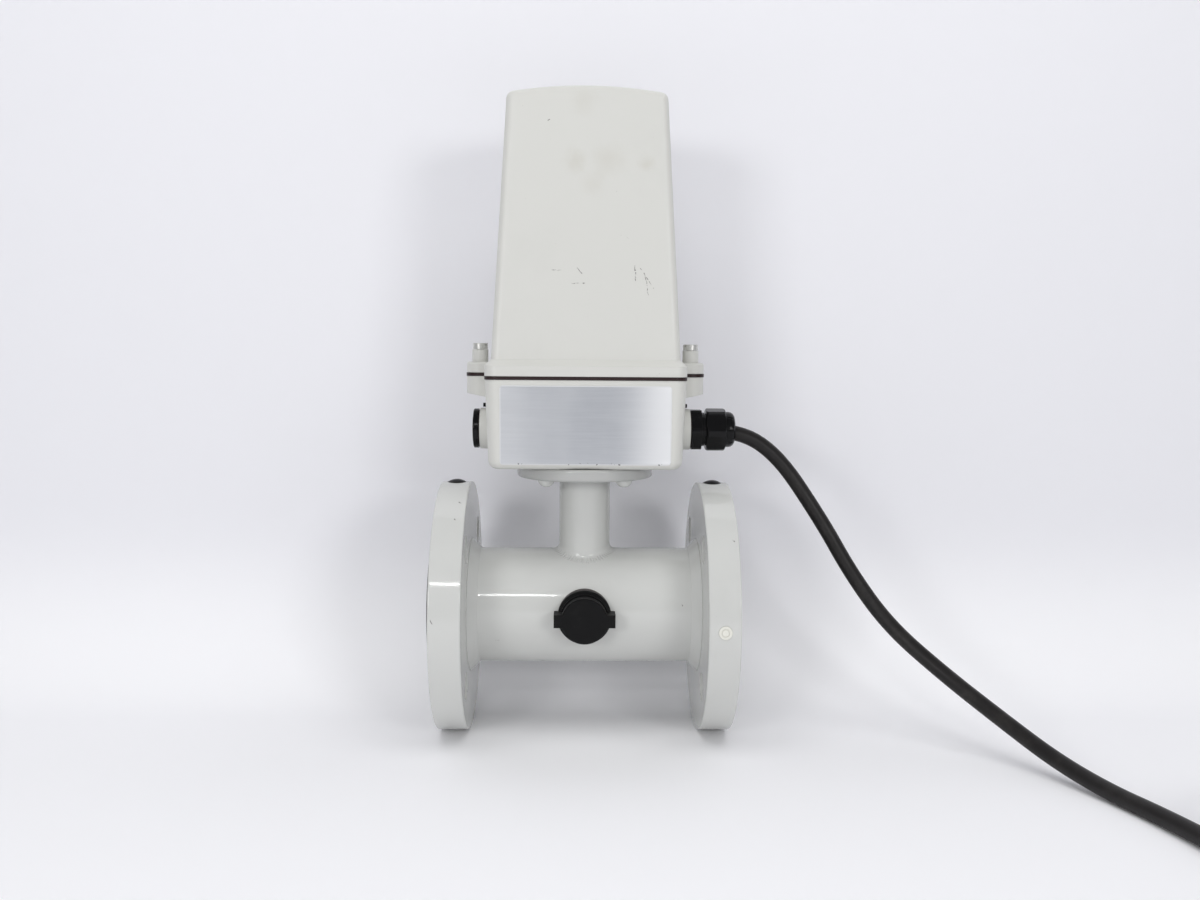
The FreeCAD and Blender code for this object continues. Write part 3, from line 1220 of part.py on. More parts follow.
def cord_coil():
    """The outer shape of the coil that the rest of the cord is wound into."""
    low, high = CORD_COIL_BASE, CORD_COIL_TOP
    cut = 0.3 * CORD_DIA
    inner, outer = CORD_COIL_INNER, CORD_COIL_OUTER
    profile = [
        V(inner + cut, 0, low), V(outer - cut, 0, low), V(outer, 0, low + cut), V(outer, 0, high - cut),
        V(outer - cut, 0, high), V(inner + cut, 0, high), V(inner, 0, high - cut), V(inner, 0, low + cut),
    ]
    body = turned(profile, Z)
    body.translate(V(*CORD_COIL_CENTRE, 0))
    return body


def cord():
    """The cord from its gland down to the floor and along it to the coil."""
    wire = cord_wire()
    first = wire.Edges[0]
    along = first.tangentAt(first.FirstParameter)
    circle = Part.Wire([Part.makeCircle(CORD_DIA / 2, V(*CORD_ROUTE[0]), along)])
    tube = wire.makePipeShell([circle], True, False)
    expected = math.pi * CORD_DIA**2 / 4 * wire.Length
    print("cord length", round(wire.Length, 1), "volume share", round(tube.Volume / expected, 4))
    return tube.cut(cord_coil())


def coil_tie():
    """The strap round one side of the coil."""
    inner, outer = CORD_COIL_INNER - COIL_TIE, CORD_COIL_OUTER + COIL_TIE
    strap = block(inner, outer, -TIE_WIDTH / 2, TIE_WIDTH / 2, FLOOR, CORD_COIL_TOP + COIL_TIE)
    strap.rotate(V(0, 0, 0), Z, TIE_ANGLE)
    strap.translate(V(*CORD_COIL_CENTRE, 0))
    return strap.cut(cord_coil())


def cord_cores():
    """The bared cores at the cord's far end, with their ferrules, inside the coil."""
    angle = math.radians(TAIL_ANGLE)
    along = V(-math.sin(angle), math.cos(angle), 0)
    inwards = V(-math.cos(angle), -math.sin(angle), 0)
    centre = V(*CORD_COIL_CENTRE, FLOOR + CORE_DIA / 2)
    cores = []
    for number in range(3):
        start = centre - inwards * (CORD_COIL_INNER - 1.0 - TAIL_CORE_PITCH * number) - along * TAIL_OVERLAP
        way = (along + inwards * (TAIL_CORE_LEAN + TAIL_CORE_FAN * number)).normalize()
        core = Part.makeCylinder(CORE_DIA / 2, TAIL_LENGTH, start, way)
        ferrule = Part.makeCylinder(FERRULE_DIA / 2, FERRULE_LENGTH, start + way * TAIL_LENGTH, way)
        cores.append(core.fuse(ferrule).removeSplitter())
    return Part.makeCompound([core.cut(cord_coil()) for core in cores])


# ---------------------------------------------------------------- parts
def parts():
    """Every node's name and shape."""
    return {
        "inlet_flange": flange(),
        "outlet_flange": outlet_flange(),
        "sensor_housing": sensor_housing(),
        "measuring_tube": measuring_tube(),
        "liner": liner(),
        "upper_coil": upper_coil(),
        "lower_coil": upper_coil().mirror(V(0, 0, 0), Z),
        "upper_pole_shoe": upper_pole_shoe(),
        "lower_pole_shoe": upper_pole_shoe().mirror(V(0, 0, 0), Z),
        "return_yoke": return_yoke(),
        "front_electrode": front_electrode(),
        "rear_electrode": behind(front_electrode()),
        "electrode_bushes": electrode_bushes(),
        "electrode_nuts": electrode_nuts(),
        "port_seals": port_seals(),
        "front_port_plug": front_port_plug(),
        "rear_port_plug": behind(front_port_plug()),
        "inlet_rim_plug": rim_plug(),
        "outlet_rim_plug": facing(rim_plug()),
        "outlet_side_plug": outlet_side_plug(),
        "neck_flange": neck_flange(),
        "neck_screws": neck_screws(),
        "neck_seal": neck_seal(),
        "sensor_cable": sensor_cable(),
        "terminal_box": terminal_box(),
        "side_pins": side_pins(),
        "box_gasket": box_gasket(),
        "cover": cover(),
        "window_seal": window_seal(),
        "window_glass": window_glass(),
        "window_frame": window_frame(),
        "window_screws": window_screws(),
        "left_cover_screw": cover_screw(-1),
        "right_cover_screw": cover_screw(1),
        "blanking_seal": entry_seal(-1),
        "blanking_plug": blanking_plug(),
        "gland_seal": entry_seal(1),
        "gland_body": gland_body(),
        "gland_insert": gland_insert(),
        "gland_nut": gland_nut(),
        "terminal_board": terminal_board(),
        "board_spacers": board_spacers(),
        "supply_terminals": terminals(1),
        "signal_terminals": terminals(-1),
        "supply_cores": supply_cores(),
        "module_chassis": module_chassis(),
        "module_screws": module_screws(),
        "power_board": power_board(),
        "signal_board": signal_board(),
        "display_module": display_module(),
        "display_pane": display_pane(),
        "cord": cord(),
        "cord_coil": cord_coil(),
        "coil_tie": coil_tie(),
        "cord_cores": cord_cores(),
    }


os.makedirs("parts", exist_ok=True)
for name, shape in parts().items():
    shape.exportStep(f"parts/{name}.step")
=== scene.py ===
"""The looks of an electromagnetic flow meter: its finishes, supply cord, rating plate, lamps and camera.

Metres, in the part's own frame: +X along the pipe from the inlet, +Z up, the near side towards -Y.
Places written in millimetres are multiplied by MM.
"""
import functools
import math

import bmesh
import bpy
from mathutils import Matrix, Vector


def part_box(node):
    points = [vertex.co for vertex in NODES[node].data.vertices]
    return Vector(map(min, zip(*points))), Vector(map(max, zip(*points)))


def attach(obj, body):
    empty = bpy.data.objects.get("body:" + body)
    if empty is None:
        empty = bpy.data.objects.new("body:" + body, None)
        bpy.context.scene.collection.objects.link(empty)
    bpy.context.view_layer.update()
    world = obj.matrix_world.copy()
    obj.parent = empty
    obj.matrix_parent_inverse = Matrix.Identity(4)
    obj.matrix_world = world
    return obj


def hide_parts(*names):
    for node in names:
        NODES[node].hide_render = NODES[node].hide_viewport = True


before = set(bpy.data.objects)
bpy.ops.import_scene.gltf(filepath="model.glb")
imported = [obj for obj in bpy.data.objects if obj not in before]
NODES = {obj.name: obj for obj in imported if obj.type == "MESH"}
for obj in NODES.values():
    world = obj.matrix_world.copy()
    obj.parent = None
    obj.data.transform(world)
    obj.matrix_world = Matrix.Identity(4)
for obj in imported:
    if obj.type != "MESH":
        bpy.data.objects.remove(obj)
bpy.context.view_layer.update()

MM = 0.001
MID_X = sum(corner[0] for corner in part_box("neck_flange")) / 2
FLOOR_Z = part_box("inlet_flange")[0][2]


# ---------------------------------------------------------------- camera
CAMERA_PLACE = (0.0944, -0.7648, 0.1658)
CAMERA_YAW, CAMERA_PITCH, CAMERA_ROLL = (math.radians(angle) for angle in (1.17, 4.6, 0.41))
SENSOR_WIDTH = 36.0
LENS = 34.43


def make_camera():
    """The near view, about level with the cover's foot and a little to the left of the middle."""
    data = bpy.data.cameras.new("camera")
    data.sensor_width = SENSOR_WIDTH
    data.lens = LENS
    camera = bpy.data.objects.new("camera", data)
    camera.location = CAMERA_PLACE
    aim = Matrix.Rotation(-CAMERA_YAW, 3, "Z") @ Matrix.Rotation(math.pi / 2 - CAMERA_PITCH, 3, "X")
    camera.rotation_euler = (aim @ Matrix.Rotation(CAMERA_ROLL, 3, "Z")).to_euler()
    bpy.context.scene.collection.objects.link(camera)
    bpy.context.scene.camera = camera


make_camera()

# ---------------------------------------------------------------- cord
CORD_RADIUS = 5.0 * MM
CORD_ROUTE = [
    (158.0, 0.0, 118.5),
    (194.0, 0.0, 120.0),
    (226.0, -1.7, 106.0),
    (258.0, -8.5, 58.5),
    (277.0, -15.0, 24.0),
    (300.0, -26.5, -8.5),
    (330.0, -47.0, -34.5),
    (358.0, -74.5, -55.5),
    (380.0, -104.0, -71.0),
    (397.0, -138.0, -77.5),
    (410.0, -175.0, -77.2),
    (421.4, -222.8, -76.6),
]
COIL_LOW, COIL_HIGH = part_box("cord_coil")
COIL_X = (COIL_LOW[0] + COIL_HIGH[0]) / 2
COIL_Y = (COIL_LOW[1] + COIL_HIGH[1]) / 2
COIL_OUTER = (COIL_HIGH[0] - COIL_LOW[0]) / 2 - CORD_RADIUS
POINTS_PER_TURN = 16
COIL_START = math.radians(202)
COIL_TURNS = 3.7
CLIMB, MOVE_IN, DROP = 0.75, 1.75, 2.75  # the turns at which the cord goes up, inwards and down
CHANGE_TURNS = 0.35
TAIL_STEPS = ((0.35, 50.5), (0.70, 47.5), (1.05, 44.5))  # angle past the last turn, radius in mm
CORE_RADIUS = 1.2 * MM
FERRULE_RADIUS = 0.8 * MM
CORE_LENGTH = 30.0 * MM
CURVE_STEPS = 8


def smooth_step(value):
    """0 below 0, 1 above 1 and an S between."""
    value = min(max(value, 0.0), 1.0)
    return value * value * (3 - 2 * value)


def coil_points():
    """The coil's turns: outer low, outer high, inner high, then inner low."""
    low = COIL_LOW[2] + CORD_RADIUS
    high = COIL_HIGH[2] - CORD_RADIUS
    inner = COIL_OUTER - 2 * CORD_RADIUS
    swell = 1 / (0.75 + 0.25 * math.cos(2 * math.pi / POINTS_PER_TURN))
    points = []
    for number in range(int(COIL_TURNS * POINTS_PER_TURN) + 1):
        turn = number / POINTS_PER_TURN
        lift = smooth_step((turn - CLIMB) / CHANGE_TURNS) - smooth_step((turn - DROP) / CHANGE_TURNS)
        radius = COIL_OUTER + (inner - COIL_OUTER) * smooth_step((turn - MOVE_IN) / CHANGE_TURNS)
        angle = COIL_START + 2 * math.pi * turn
        points.append((COIL_X + radius * swell * math.cos(angle),
                       COIL_Y + radius * swell * math.sin(angle),
                       low + (high - low) * lift))
    return points


def nurbs(name, points, radius):
    """A smooth round cord, wire or core through a list of control points."""
    curve = bpy.data.curves.new(name, "CURVE")
    curve.dimensions = "3D"
    curve.bevel_depth = 1.0
    curve.bevel_resolution = 6
    curve.resolution_u = CURVE_STEPS
    curve.use_fill_caps = True
    spline = curve.splines.new("NURBS")
    spline.points.add(len(points) - 1)
    for point, place in zip(spline.points, points):
        point.co = (*place, 1.0)
        point.radius = radius
    spline.order_u = 3
    spline.use_endpoint_u = True
    piece = bpy.data.objects.new(name, curve)
    bpy.context.scene.collection.objects.link(piece)
    return piece


def tail_points():
    """The last stretch, from the inner low turn a little in towards the middle of the coil."""
    last = coil_points()[-1]
    angle = math.atan2(last[1] - COIL_Y, last[0] - COIL_X)
    points = []
    for step, radius in TAIL_STEPS:
        turned = angle + step
        points.append((COIL_X + radius * MM * math.cos(turned),
                       COIL_Y + radius * MM * math.sin(turned),
                       last[2]))
    return points


def centre_line(piece):
    """The points that a cord's smooth line follows."""
    bevel, piece.data.bevel_depth = piece.data.bevel_depth, 0.0
    bpy.context.view_layer.update()
    mesh = bpy.data.meshes.new_from_object(piece.evaluated_get(bpy.context.evaluated_depsgraph_get()))
    piece.data.bevel_depth = bevel
    return [vertex.co.copy() for vertex in mesh.vertices]


ROUTE = [tuple(value * MM for value in point) for point in CORD_ROUTE]
cord = nurbs("supply_cord", ROUTE + coil_points() + tail_points(), CORD_RADIUS)
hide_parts("cord", "cord_coil")
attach(cord, "meter")
cord_line = centre_line(cord)


def cord_end_cores():
    """Three bared cores out of the jacket's end, fanned out on the floor, each with a ferrule."""
    end = cord_line[-1]
    along = (end - cord_line[-3]).normalized()
    across = Vector((-along.y, along.x, 0))
    made = []
    for name, side, rise in (("brown", -1, -0.5), ("blue", 1, -0.5), ("striped", 0, 1)):
        start = end + across * (1.7 * side * MM) + Vector((0, 0, 1.6 * rise * MM))
        way = (along + across * (0.16 * side + 0.12)).normalized()
        low = FLOOR_Z + CORE_RADIUS
        reach = CORE_LENGTH + 3 * rise * MM
        points = [start - along * 2 * MM, start + along * 5 * MM,
                  start + way * 0.55 * reach, start + way * reach]
        for share, point in zip((0, 0.12, 0.8, 1), points):
            point.z += (low - point.z) * share
        core = nurbs("cord_core_" + name, points, CORE_RADIUS)
        tip = points[-1] - way * 1.5 * MM
        sleeve = nurbs("cord_ferrule_" + name, [tip, tip + way * 5 * MM, tip + way * 9.5 * MM],
                       FERRULE_RADIUS)
        made.append((name, core, sleeve))
    return made


cord_cores = cord_end_cores()
for _, core, sleeve in cord_cores:
    for piece in (core, sleeve):
        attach(piece, "meter")
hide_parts("cord_cores")
[NODES["coil_tie"]] + [piece for _, *pair in cord_cores for piece in pair]


# ---------------------------------------------------------------- hand work
def pick(piece):
    """Select one piece alone and make it active."""
    bpy.ops.object.select_all(action="DESELECT")
    piece.select_set(True)
    bpy.context.view_layer.objects.active = piece


def edges_where(piece, wanted):
    """In edit mode, select the edges whose two ends wanted(a, b) accepts."""
    shape = bmesh.from_edit_mesh(piece.data)
    for item in (*shape.verts, *shape.edges, *shape.faces):
        item.select = False
    for edge in shape.edges:
        if wanted(edge.verts[0].co, edge.verts[1].co):
            edge.select_set(True)
    bmesh.update_edit_mesh(piece.data)


# ---------------------------------------------------------------- stage and light
FLOOR_SIZE = 6
FLOOR_GAP = 0.0002  # the floor's card lies this far under the meter and the backdrop's foot
BACKDROP_Y = 0.12
BACKDROP_WIDTH = 5
BACKDROP_HEIGHT = 2.2
BACKDROP_BEND = 0.105
WALL_START = 0.06  # the height at which the card has its wall colour
EDGE_REACH = 1e-4


def at_back(a, b):
    """True where both ends of an edge lie at the backdrop's far side."""
    return min(a.y, b.y) > BACKDROP_Y - EDGE_REACH


def make_stage():
    """A level floor, and a backdrop close behind the meter that rises from it in a curve."""
    bpy.ops.mesh.primitive_plane_add(size=FLOOR_SIZE, location=(MID_X, 0, FLOOR_Z - FLOOR_GAP))
    floor = bpy.context.object
    floor.name = "floor"
    bpy.ops.mesh.primitive_plane_add(size=1, location=(MID_X, BACKDROP_Y - 0.5, FLOOR_Z))
    backdrop = bpy.context.object
    backdrop.name = "backdrop"
    backdrop.scale = (BACKDROP_WIDTH, 1, 1)
    bpy.ops.object.transform_apply(location=True, rotation=False, scale=True)
    bpy.ops.object.mode_set(mode="EDIT")
    bpy.ops.mesh.select_mode(type="EDGE")
    edges_where(backdrop, at_back)
    bpy.ops.mesh.extrude_region_move(TRANSFORM_OT_translate={"value": (0, 0, BACKDROP_HEIGHT)})
    edges_where(backdrop, lambda a, b: at_back(a, b) and max(a.z, b.z) < FLOOR_Z + EDGE_REACH)
    bpy.ops.mesh.bevel(offset=BACKDROP_BEND, segments=20, profile=0.5)
    bpy.ops.object.mode_set(mode="OBJECT")
    bpy.ops.object.shade_smooth()
    return floor, backdrop


floor, backdrop = make_stage()


SIDE_LAMP_ACROSS = 0.75
BEAD_COUNT = 8
BEAD_START = -0.32
BEAD_STEP = 0.036
SURROUND_COLOUR = (0.95, 0.96, 1.0, 1)
SURROUND_STRENGTH = 0.23


def area_light(name, place, target, wide, tall, power):
    """A flat rectangular lamp at place, facing target."""
    data = bpy.data.lights.new(name, "AREA")
    data.shape = "RECTANGLE"
    data.size = wide
    data.size_y = tall
    data.energy = power
    lamp = bpy.data.objects.new(name, data)
    lamp.location = place
    lamp.rotation_euler = (Vector(target) - Vector(place)).to_track_quat("-Z", "Y").to_euler()
    bpy.context.scene.collection.objects.link(lamp)
    return lamp


def make_lights():
    """A soft lamp each side, a row of small ones for highlights, a large one overhead and the surround.

    The overhead lamp is kept out of reflections, as it would put a broad band across the glossy tube.
    """
    aim = (MID_X, 0, 0.1)
    for name, side in (("left_soft", -1), ("right_soft", 1)):
        area_light(name, (MID_X + side * SIDE_LAMP_ACROSS, -1.5, 0.45), aim, 0.4, 0.3, 5.2)
    for number in range(BEAD_COUNT):
        area_light("bead_%d" % number, (MID_X + BEAD_START + BEAD_STEP * number, -1.6, 0.88), aim,
                   0.018, 0.022, 0.17)
    overhead = area_light("overhead", (MID_X, -0.6, 1.3), (MID_X, -0.1, 0), 1.6, 0.8, 9.2)
    overhead.visible_glossy = False
    world = bpy.data.worlds.new("surround")
    world.use_nodes = True
    surround = world.node_tree.nodes["Background"].inputs
    surround["Color"].default_value = SURROUND_COLOUR
    surround["Strength"].default_value = SURROUND_STRENGTH
    bpy.context.scene.world = world


make_lights()
bpy.context.scene.view_settings.view_transform = "Standard"


# ---------------------------------------------------------------- rating plate
PLATE_HALF_WIDTH = 54.0 * MM
PLATE_LOW = 98.2 * MM
PLATE_HIGH = 148.2 * MM
PLATE_CORNER = 2.2 * MM
PLATE_FOIL = 0.3 * MM
PLATE_START_Y = -60.0 * MM
PLATE_BORDER = 0.7  # mm
PLATE_RISES = (0.6, 1.2, 1.8, 2.4, 3.0, 4.0, 8.0, 20.0, 35.0)  # cuts above the lower edge, in mm
PLATE_SIDES = (-51, -48, 48, 51)  # cuts either side of the middle, in mm


def make_plate():
    """A bare foil plate stuck on the box's near wall, pressed round the box's bottom edge."""
    middle = (PLATE_LOW + PLATE_HIGH) / 2
    bpy.ops.mesh.primitive_plane_add(size=1, location=(MID_X, PLATE_START_Y, middle),
                                     rotation=(math.pi / 2, 0, 0))
    plate = bpy.context.object
    plate.name = "rating_plate"
    plate.scale = (2 * PLATE_HALF_WIDTH, PLATE_HIGH - PLATE_LOW, 1)
    pick(plate)
    bpy.ops.object.transform_apply()
    bpy.ops.object.mode_set(mode="EDIT")
    bpy.ops.mesh.select_all(action="SELECT")
    bpy.ops.mesh.bevel(affect="VERTICES", offset=PLATE_CORNER, segments=6)
    for rise in PLATE_RISES:
        bpy.ops.mesh.select_all(action="SELECT")
        bpy.ops.mesh.bisect(plane_co=(MID_X, 0, PLATE_LOW + rise * MM), plane_no=(0, 0, 1))
    for side in PLATE_SIDES:
        bpy.ops.mesh.select_all(action="SELECT")
        bpy.ops.mesh.bisect(plane_co=(MID_X + side * MM, 0, 0), plane_no=(1, 0, 0))
    bpy.ops.object.mode_set(mode="OBJECT")
    wrap = plate.modifiers.new("stuck_on", "SHRINKWRAP")
    wrap.target = NODES["terminal_box"]
    wrap.wrap_method = "PROJECT"
    wrap.use_project_y = True
    wrap.offset = 0.05 * MM
    foil = plate.modifiers.new("foil", "SOLIDIFY")
    foil.thickness = PLATE_FOIL
    foil.offset = 1
    for modifier in (wrap, foil):
        bpy.ops.object.modifier_apply(modifier=modifier.name)
    bpy.ops.object.shade_smooth_by_angle(angle=math.radians(40))
    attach(plate, "meter")
    return plate


plate = make_plate()


# ---------------------------------------------------------------- shader maths
class Value:
    """A socket of a material, with arithmetic that adds the nodes it needs."""

    def __init__(self, shade, socket):
        self.shade = shade
        self.socket = socket

    def __add__(self, other):
        return self.shade.math("ADD", self, other)

    def __sub__(self, other):
        return self.shade.math("SUBTRACT", self, other)

    def __rsub__(self, other):
        return self.shade.math("SUBTRACT", other, self)

    def __mul__(self, other):
        return self.shade.math("MULTIPLY", self, other)

    __radd__ = __add__
    __rmul__ = __mul__


class Shade:
    """One node material. Its methods add nodes and return their outputs as values."""

    def __init__(self, name, rough=0.5, metallic=0.0, **sockets):
        self.material = bpy.data.materials.new(name)
        self.material.use_nodes = True
        self.tree = self.material.node_tree
        self.shader = self.tree.nodes["Principled BSDF"]
        self.set(Roughness=rough, Metallic=metallic, **sockets)
        self.place = Value(self, self.tree.nodes.new("ShaderNodeTexCoord").outputs["Object"])
        self.axes = {}

    def set(self, **sockets):
        """Set or link the shader's own sockets; an underscore stands for a space."""
        for name, value in sockets.items():
            self.feed(self.shader.inputs[name.replace("_", " ")], value)

    def feed(self, socket, value):
        """Link a value to a socket, or set it."""
        if isinstance(value, Value):
            self.tree.links.new(value.socket, socket)
        elif isinstance(value, tuple) and len(value) == 3 and socket.type == "RGBA":
            socket.default_value = (*value, 1)
        elif value is not None:
            socket.default_value = value

    def node(self, kind, output=0, settings=None, **inputs):
        """Add a node and return one of its outputs."""
        made = self.tree.nodes.new("ShaderNode" + kind)
        for name, value in (settings or {}).items():
            setattr(made, name, value)
        for name, value in inputs.items():
            key = int(name[1:]) if name[0] == "_" else name.replace("_", " ")
            self.feed(made.inputs[key], value)
        return Value(self, made.outputs[output])

    def math(self, kind, a, b=None):
        """A Math node."""
        return self.node("Math", settings={"operation": kind}, _0=a, _1=b)

    def vector(self, kind, a, b, output=0):
        """A Vector Math node."""
        return self.node("VectorMath", output, {"operation": kind}, _0=a, _1=b)

    def noise(self, scale, detail=4.0, roughness=0.55, place=None):
        """Noise from 0 to 1; scale is in waves per metre."""
        return self.node("TexNoise", "Fac", Vector=place or self.place, Scale=scale, Detail=detail,
                         Roughness=roughness)

    def stretched(self, scale):
        """The place, scaled by a vector."""
        return self.vector("MULTIPLY", self.place, scale)

    def ramp(self, value, low, high):
        """0 at low, 1 at high, and smooth between; low may be the greater."""
        return self.node("MapRange", settings={"interpolation_type": "SMOOTHSTEP"},
                         _0=value, _1=low, _2=high)

    def mix(self, share, a, b):
        """A colour between a and b."""
        return self.node("Mix", 2, {"data_type": "RGBA"}, _0=share, _6=a, _7=b)

    def axis(self, letter):
        """One coordinate of the place."""
        if letter not in self.axes:
            self.axes[letter] = self.node("SeparateXYZ", letter, _0=self.place)
        return self.axes[letter]

    def within(self, letter, low=None, high=None):
        """1 between two limits in millimetres on one axis, and 0 outside."""
        above = self.math("GREATER_THAN", self.axis(letter), low * MM) if low is not None else 1.0
        below = self.math("LESS_THAN", self.axis(letter), high * MM) if high is not None else 1.0
        return above * below

    def inside(self, **limits):
        """1 inside a box given as X=(low, high) and so on in millimetres, and 0 outside."""
        masks = [self.within(letter, low, high) for letter, (low, high) in limits.items()]
        return functools.reduce(lambda first, second: first * second, masks)

    def neck_distance(self):
        """Distance from the neck pipe's axis, in metres."""
        x, y = self.axis("X") - MID_X, self.axis("Y")
        return self.math("SQRT", x * x + y * y)

    def wobbled(self, scale, reach):
        """The place, shaken by up to reach metres in waves of scale per metre."""
        waves = self.node("TexNoise", "Color", Vector=self.place, Scale=scale, Detail=2.0)
        shake = self.vector("SUBTRACT", waves, (0.5, 0.5, 0.5))
        return self.vector("ADD", self.place, self.vector("MULTIPLY", shake, (2 * reach,) * 3))

    def segment(self, start, end, width, place):
        """1 within width of a straight line between two points in millimetres, and 0 outside."""
        start, end = Vector(start) * MM, Vector(end) * MM
        along = end - start
        offset = self.vector("SUBTRACT", place, tuple(start))
        share = self.vector("DOT_PRODUCT", offset, tuple(along / along.length_squared), output=1)
        share = self.math("MAXIMUM", self.math("MINIMUM", share, 1.0), 0.0)
        nearest = self.node("VectorMath", 0, {"operation": "SCALE"}, _0=tuple(along), Scale=share)
        distance = self.vector("DISTANCE", offset, nearest, output=1)
        return self.ramp(distance, width * MM, 0.6 * width * MM)

    def highest(self, values):
        """The largest of several values."""
        return functools.reduce(lambda best, value: self.math("MAXIMUM", best, value), values)

    def rounded(self, width):
        """The surface's direction as if its edges were rounded over width millimetres."""
        return self.node("Bevel", settings={"samples": 4}, Radius=width * MM)

    def bump(self, height, depth, strength=1.0, edge=None):
        """Raise the surface by height times depth metres, with edges rounded over edge millimetres."""
        rounded = self.rounded(edge) if edge else None
        self.set(Normal=self.node("Bump", Strength=strength, Distance=depth, Height=height,
                                  Normal=rounded))

    def wear(self, width):
        """Up to 1 within width millimetres of an edge, and 0 on flats."""
        flat = self.node("NewGeometry", "Normal")
        turned = 1.0 - self.vector("DOT_PRODUCT", self.rounded(width), flat, output=1)
        return self.ramp(turned, 0.01, 0.12)


def tint(*parts):
    """A colour written in display values from 0 to 255, as linear light."""
    shares = (part / 255 for part in parts)
    return tuple(share / 12.92 if share < 0.04045 else ((share + 0.055) / 1.055) ** 2.4
                 for share in shares)


def darker(colour, share):
    """A colour at a share of its brightness."""
    return tuple(share * part for part in colour)


def dress(shade, *nodes):
    """Give CAD nodes a material."""
    for node in nodes:
        mesh = NODES[node].data
        mesh.materials.clear()
        mesh.materials.append(shade.material)
        for polygon in mesh.polygons:
            polygon.material_index = 0


# ---------------------------------------------------------------- materials
NECK_REACH = 16.85 * MM  # the neck pipe's outside radius
DUST = tint(120, 118, 112)
WELD_HEIGHTS = (28, 52)  # the heights between which the neck's weld lies, in mm


def card(name, one_sided=False):
    """Matt white card, a little greyer up the wall; a one-sided card can be seen through from behind."""
    shade = Shade(name, 0.95)
    rise = shade.ramp(shade.axis("Z"), FLOOR_Z, WALL_START)
    shade.set(Base_Color=shade.mix(rise, tint(250, 250, 252), tint(235, 235, 239)),
              Specular_IOR_Level=0.05)
    if one_sided:
        behind = shade.node("NewGeometry", "Backfacing")
        clear = shade.node("BsdfTransparent")
        both = shade.node("MixShader", _0=behind, _1=Value(shade, shade.shader.outputs[0]), _2=clear)
        shade.tree.links.new(both.socket, shade.tree.nodes["Material Output"].inputs["Surface"])
    return shade


def weld_ripple(shade):
    """The scales of the weld bead round the foot of the neck, as height from -1 to 1."""
    x, y = shade.axis("X") - MID_X, shade.axis("Y")
    scales = shade.math("SINE", shade.math("ARCTAN2", y, x) * 64 + shade.noise(40, 2) * 6)
    reach = shade.neck_distance()
    bead = shade.ramp(reach, NECK_REACH + 0.4 * MM, NECK_REACH + 1.4 * MM)
    bead = bead * shade.ramp(reach, NECK_REACH + 5.5 * MM, NECK_REACH + 3.5 * MM)
    return scales * bead * shade.inside(Z=WELD_HEIGHTS)


def sprayed(name, colour, marks=(), stains=(), rough=0.42, peel=0.035, edge=0.6, chips=0.0, weld=False):
    """Sprayed paint: faint orange peel, grime, scratches down to dark primer, smudges and chipped edges.

    A mark is a scratch's two ends and width; a stain is its middle, radius and strength; all in mm.
    """
    shade = Shade(name, rough, Specular_IOR_Level=0.5)
    grime = shade.ramp(shade.noise(14, 6, 0.6), 0.48, 0.75)
    paint = shade.mix(grime * 0.3, colour, darker(colour, 0.88))
    for place, size, strength in stains:
        distance = shade.vector("DISTANCE", shade.place, tuple(Vector(place) * MM), output=1)
        spot = shade.ramp(distance + 0.014 * shade.noise(90, 4), size * MM, 0.3 * size * MM)
        paint = shade.mix(spot * strength, paint, tint(184, 180, 166))
    specks = shade.ramp(shade.noise(900, 2, 0.4), 0.76, 0.80)
    sparse = shade.ramp(shade.noise(45, 2), 0.55, 0.7)
    paint = shade.mix(specks * sparse * 0.5, paint, tint(120, 112, 100))
    edges = shade.wear(edge)
    paint = shade.mix(edges * shade.noise(90, 4) * 0.16, paint, tint(150, 148, 140))
    patches = shade.noise(60, 4) * 0.1
    bare = []
    if chips:
        bare.append(edges * shade.ramp(shade.noise(230, 3, 0.6), 0.72 - chips, 0.75 - chips))
    if marks:
        shaky = shade.wobbled(170, 1.3 * MM)
        lines = shade.highest([shade.segment(*mark, shaky) for mark in marks])
        bare.append(lines * shade.ramp(shade.noise(700, 3, 0.6), 0.42, 0.52))
    if bare:
        bare = shade.highest(bare)
        paint = shade.mix(bare * 0.88, paint, tint(84, 80, 78))
        patches = patches + bare * 0.3
    shade.set(Base_Color=paint, Roughness=patches + (rough - 0.05))
    height = shade.noise(1400, 2, 0.5) * peel + shade.noise(160, 2, 0.5) * (1.5 * peel)
    if weld:
        height = height + weld_ripple(shade) * 0.5
    shade.bump(height, 0.0004, 1.0, edge)
    return shade


def moulded(name, colour, rough=0.45, grain=0.05, dust=0.1, shine=0.5, edge=0.25, worn=0.12):
    """Moulded plastic with a fine grain, a little dust and rubbed edges."""
    shade = Shade(name, rough, Specular_IOR_Level=shine)
    dirt = shade.ramp(shade.noise(70, 5, 0.65), 0.5, 0.85)
    rubbed = shade.wear(edge) * shade.noise(220, 3)
    plastic = shade.mix(dirt * dust, colour, DUST)
    shade.set(Base_Color=shade.mix(rubbed * worn, plastic, tint(150, 150, 148)))
    shade.set(Roughness=shade.noise(130, 4) * 0.16 + (rough - 0.08))
    shade.bump(shade.noise(3500, 2, 0.6), 0.0003, grain, edge)
    return shade


def metal(name, colour, rough, metallic=1.0):
    """Bare metal, evenly fine-grained from machining, with duller patches."""
    shade = Shade(name, rough, metallic)
    marks = shade.noise(900, 3, 0.6)
    dull = shade.ramp(shade.noise(120, 4, 0.6), 0.5, 0.8)
    bright = shade.mix(shade.ramp(marks, 0.3, 0.7), colour, darker(colour, 0.8))
    shade.set(Base_Color=shade.mix(dull * 0.25, bright, darker(colour, 0.6)))
    shade.set(Roughness=marks * 0.2 + dull * 0.1 + (rough - 0.1))
    shade.bump(marks, 0.0002, 0.06, 0.2)
    return shade


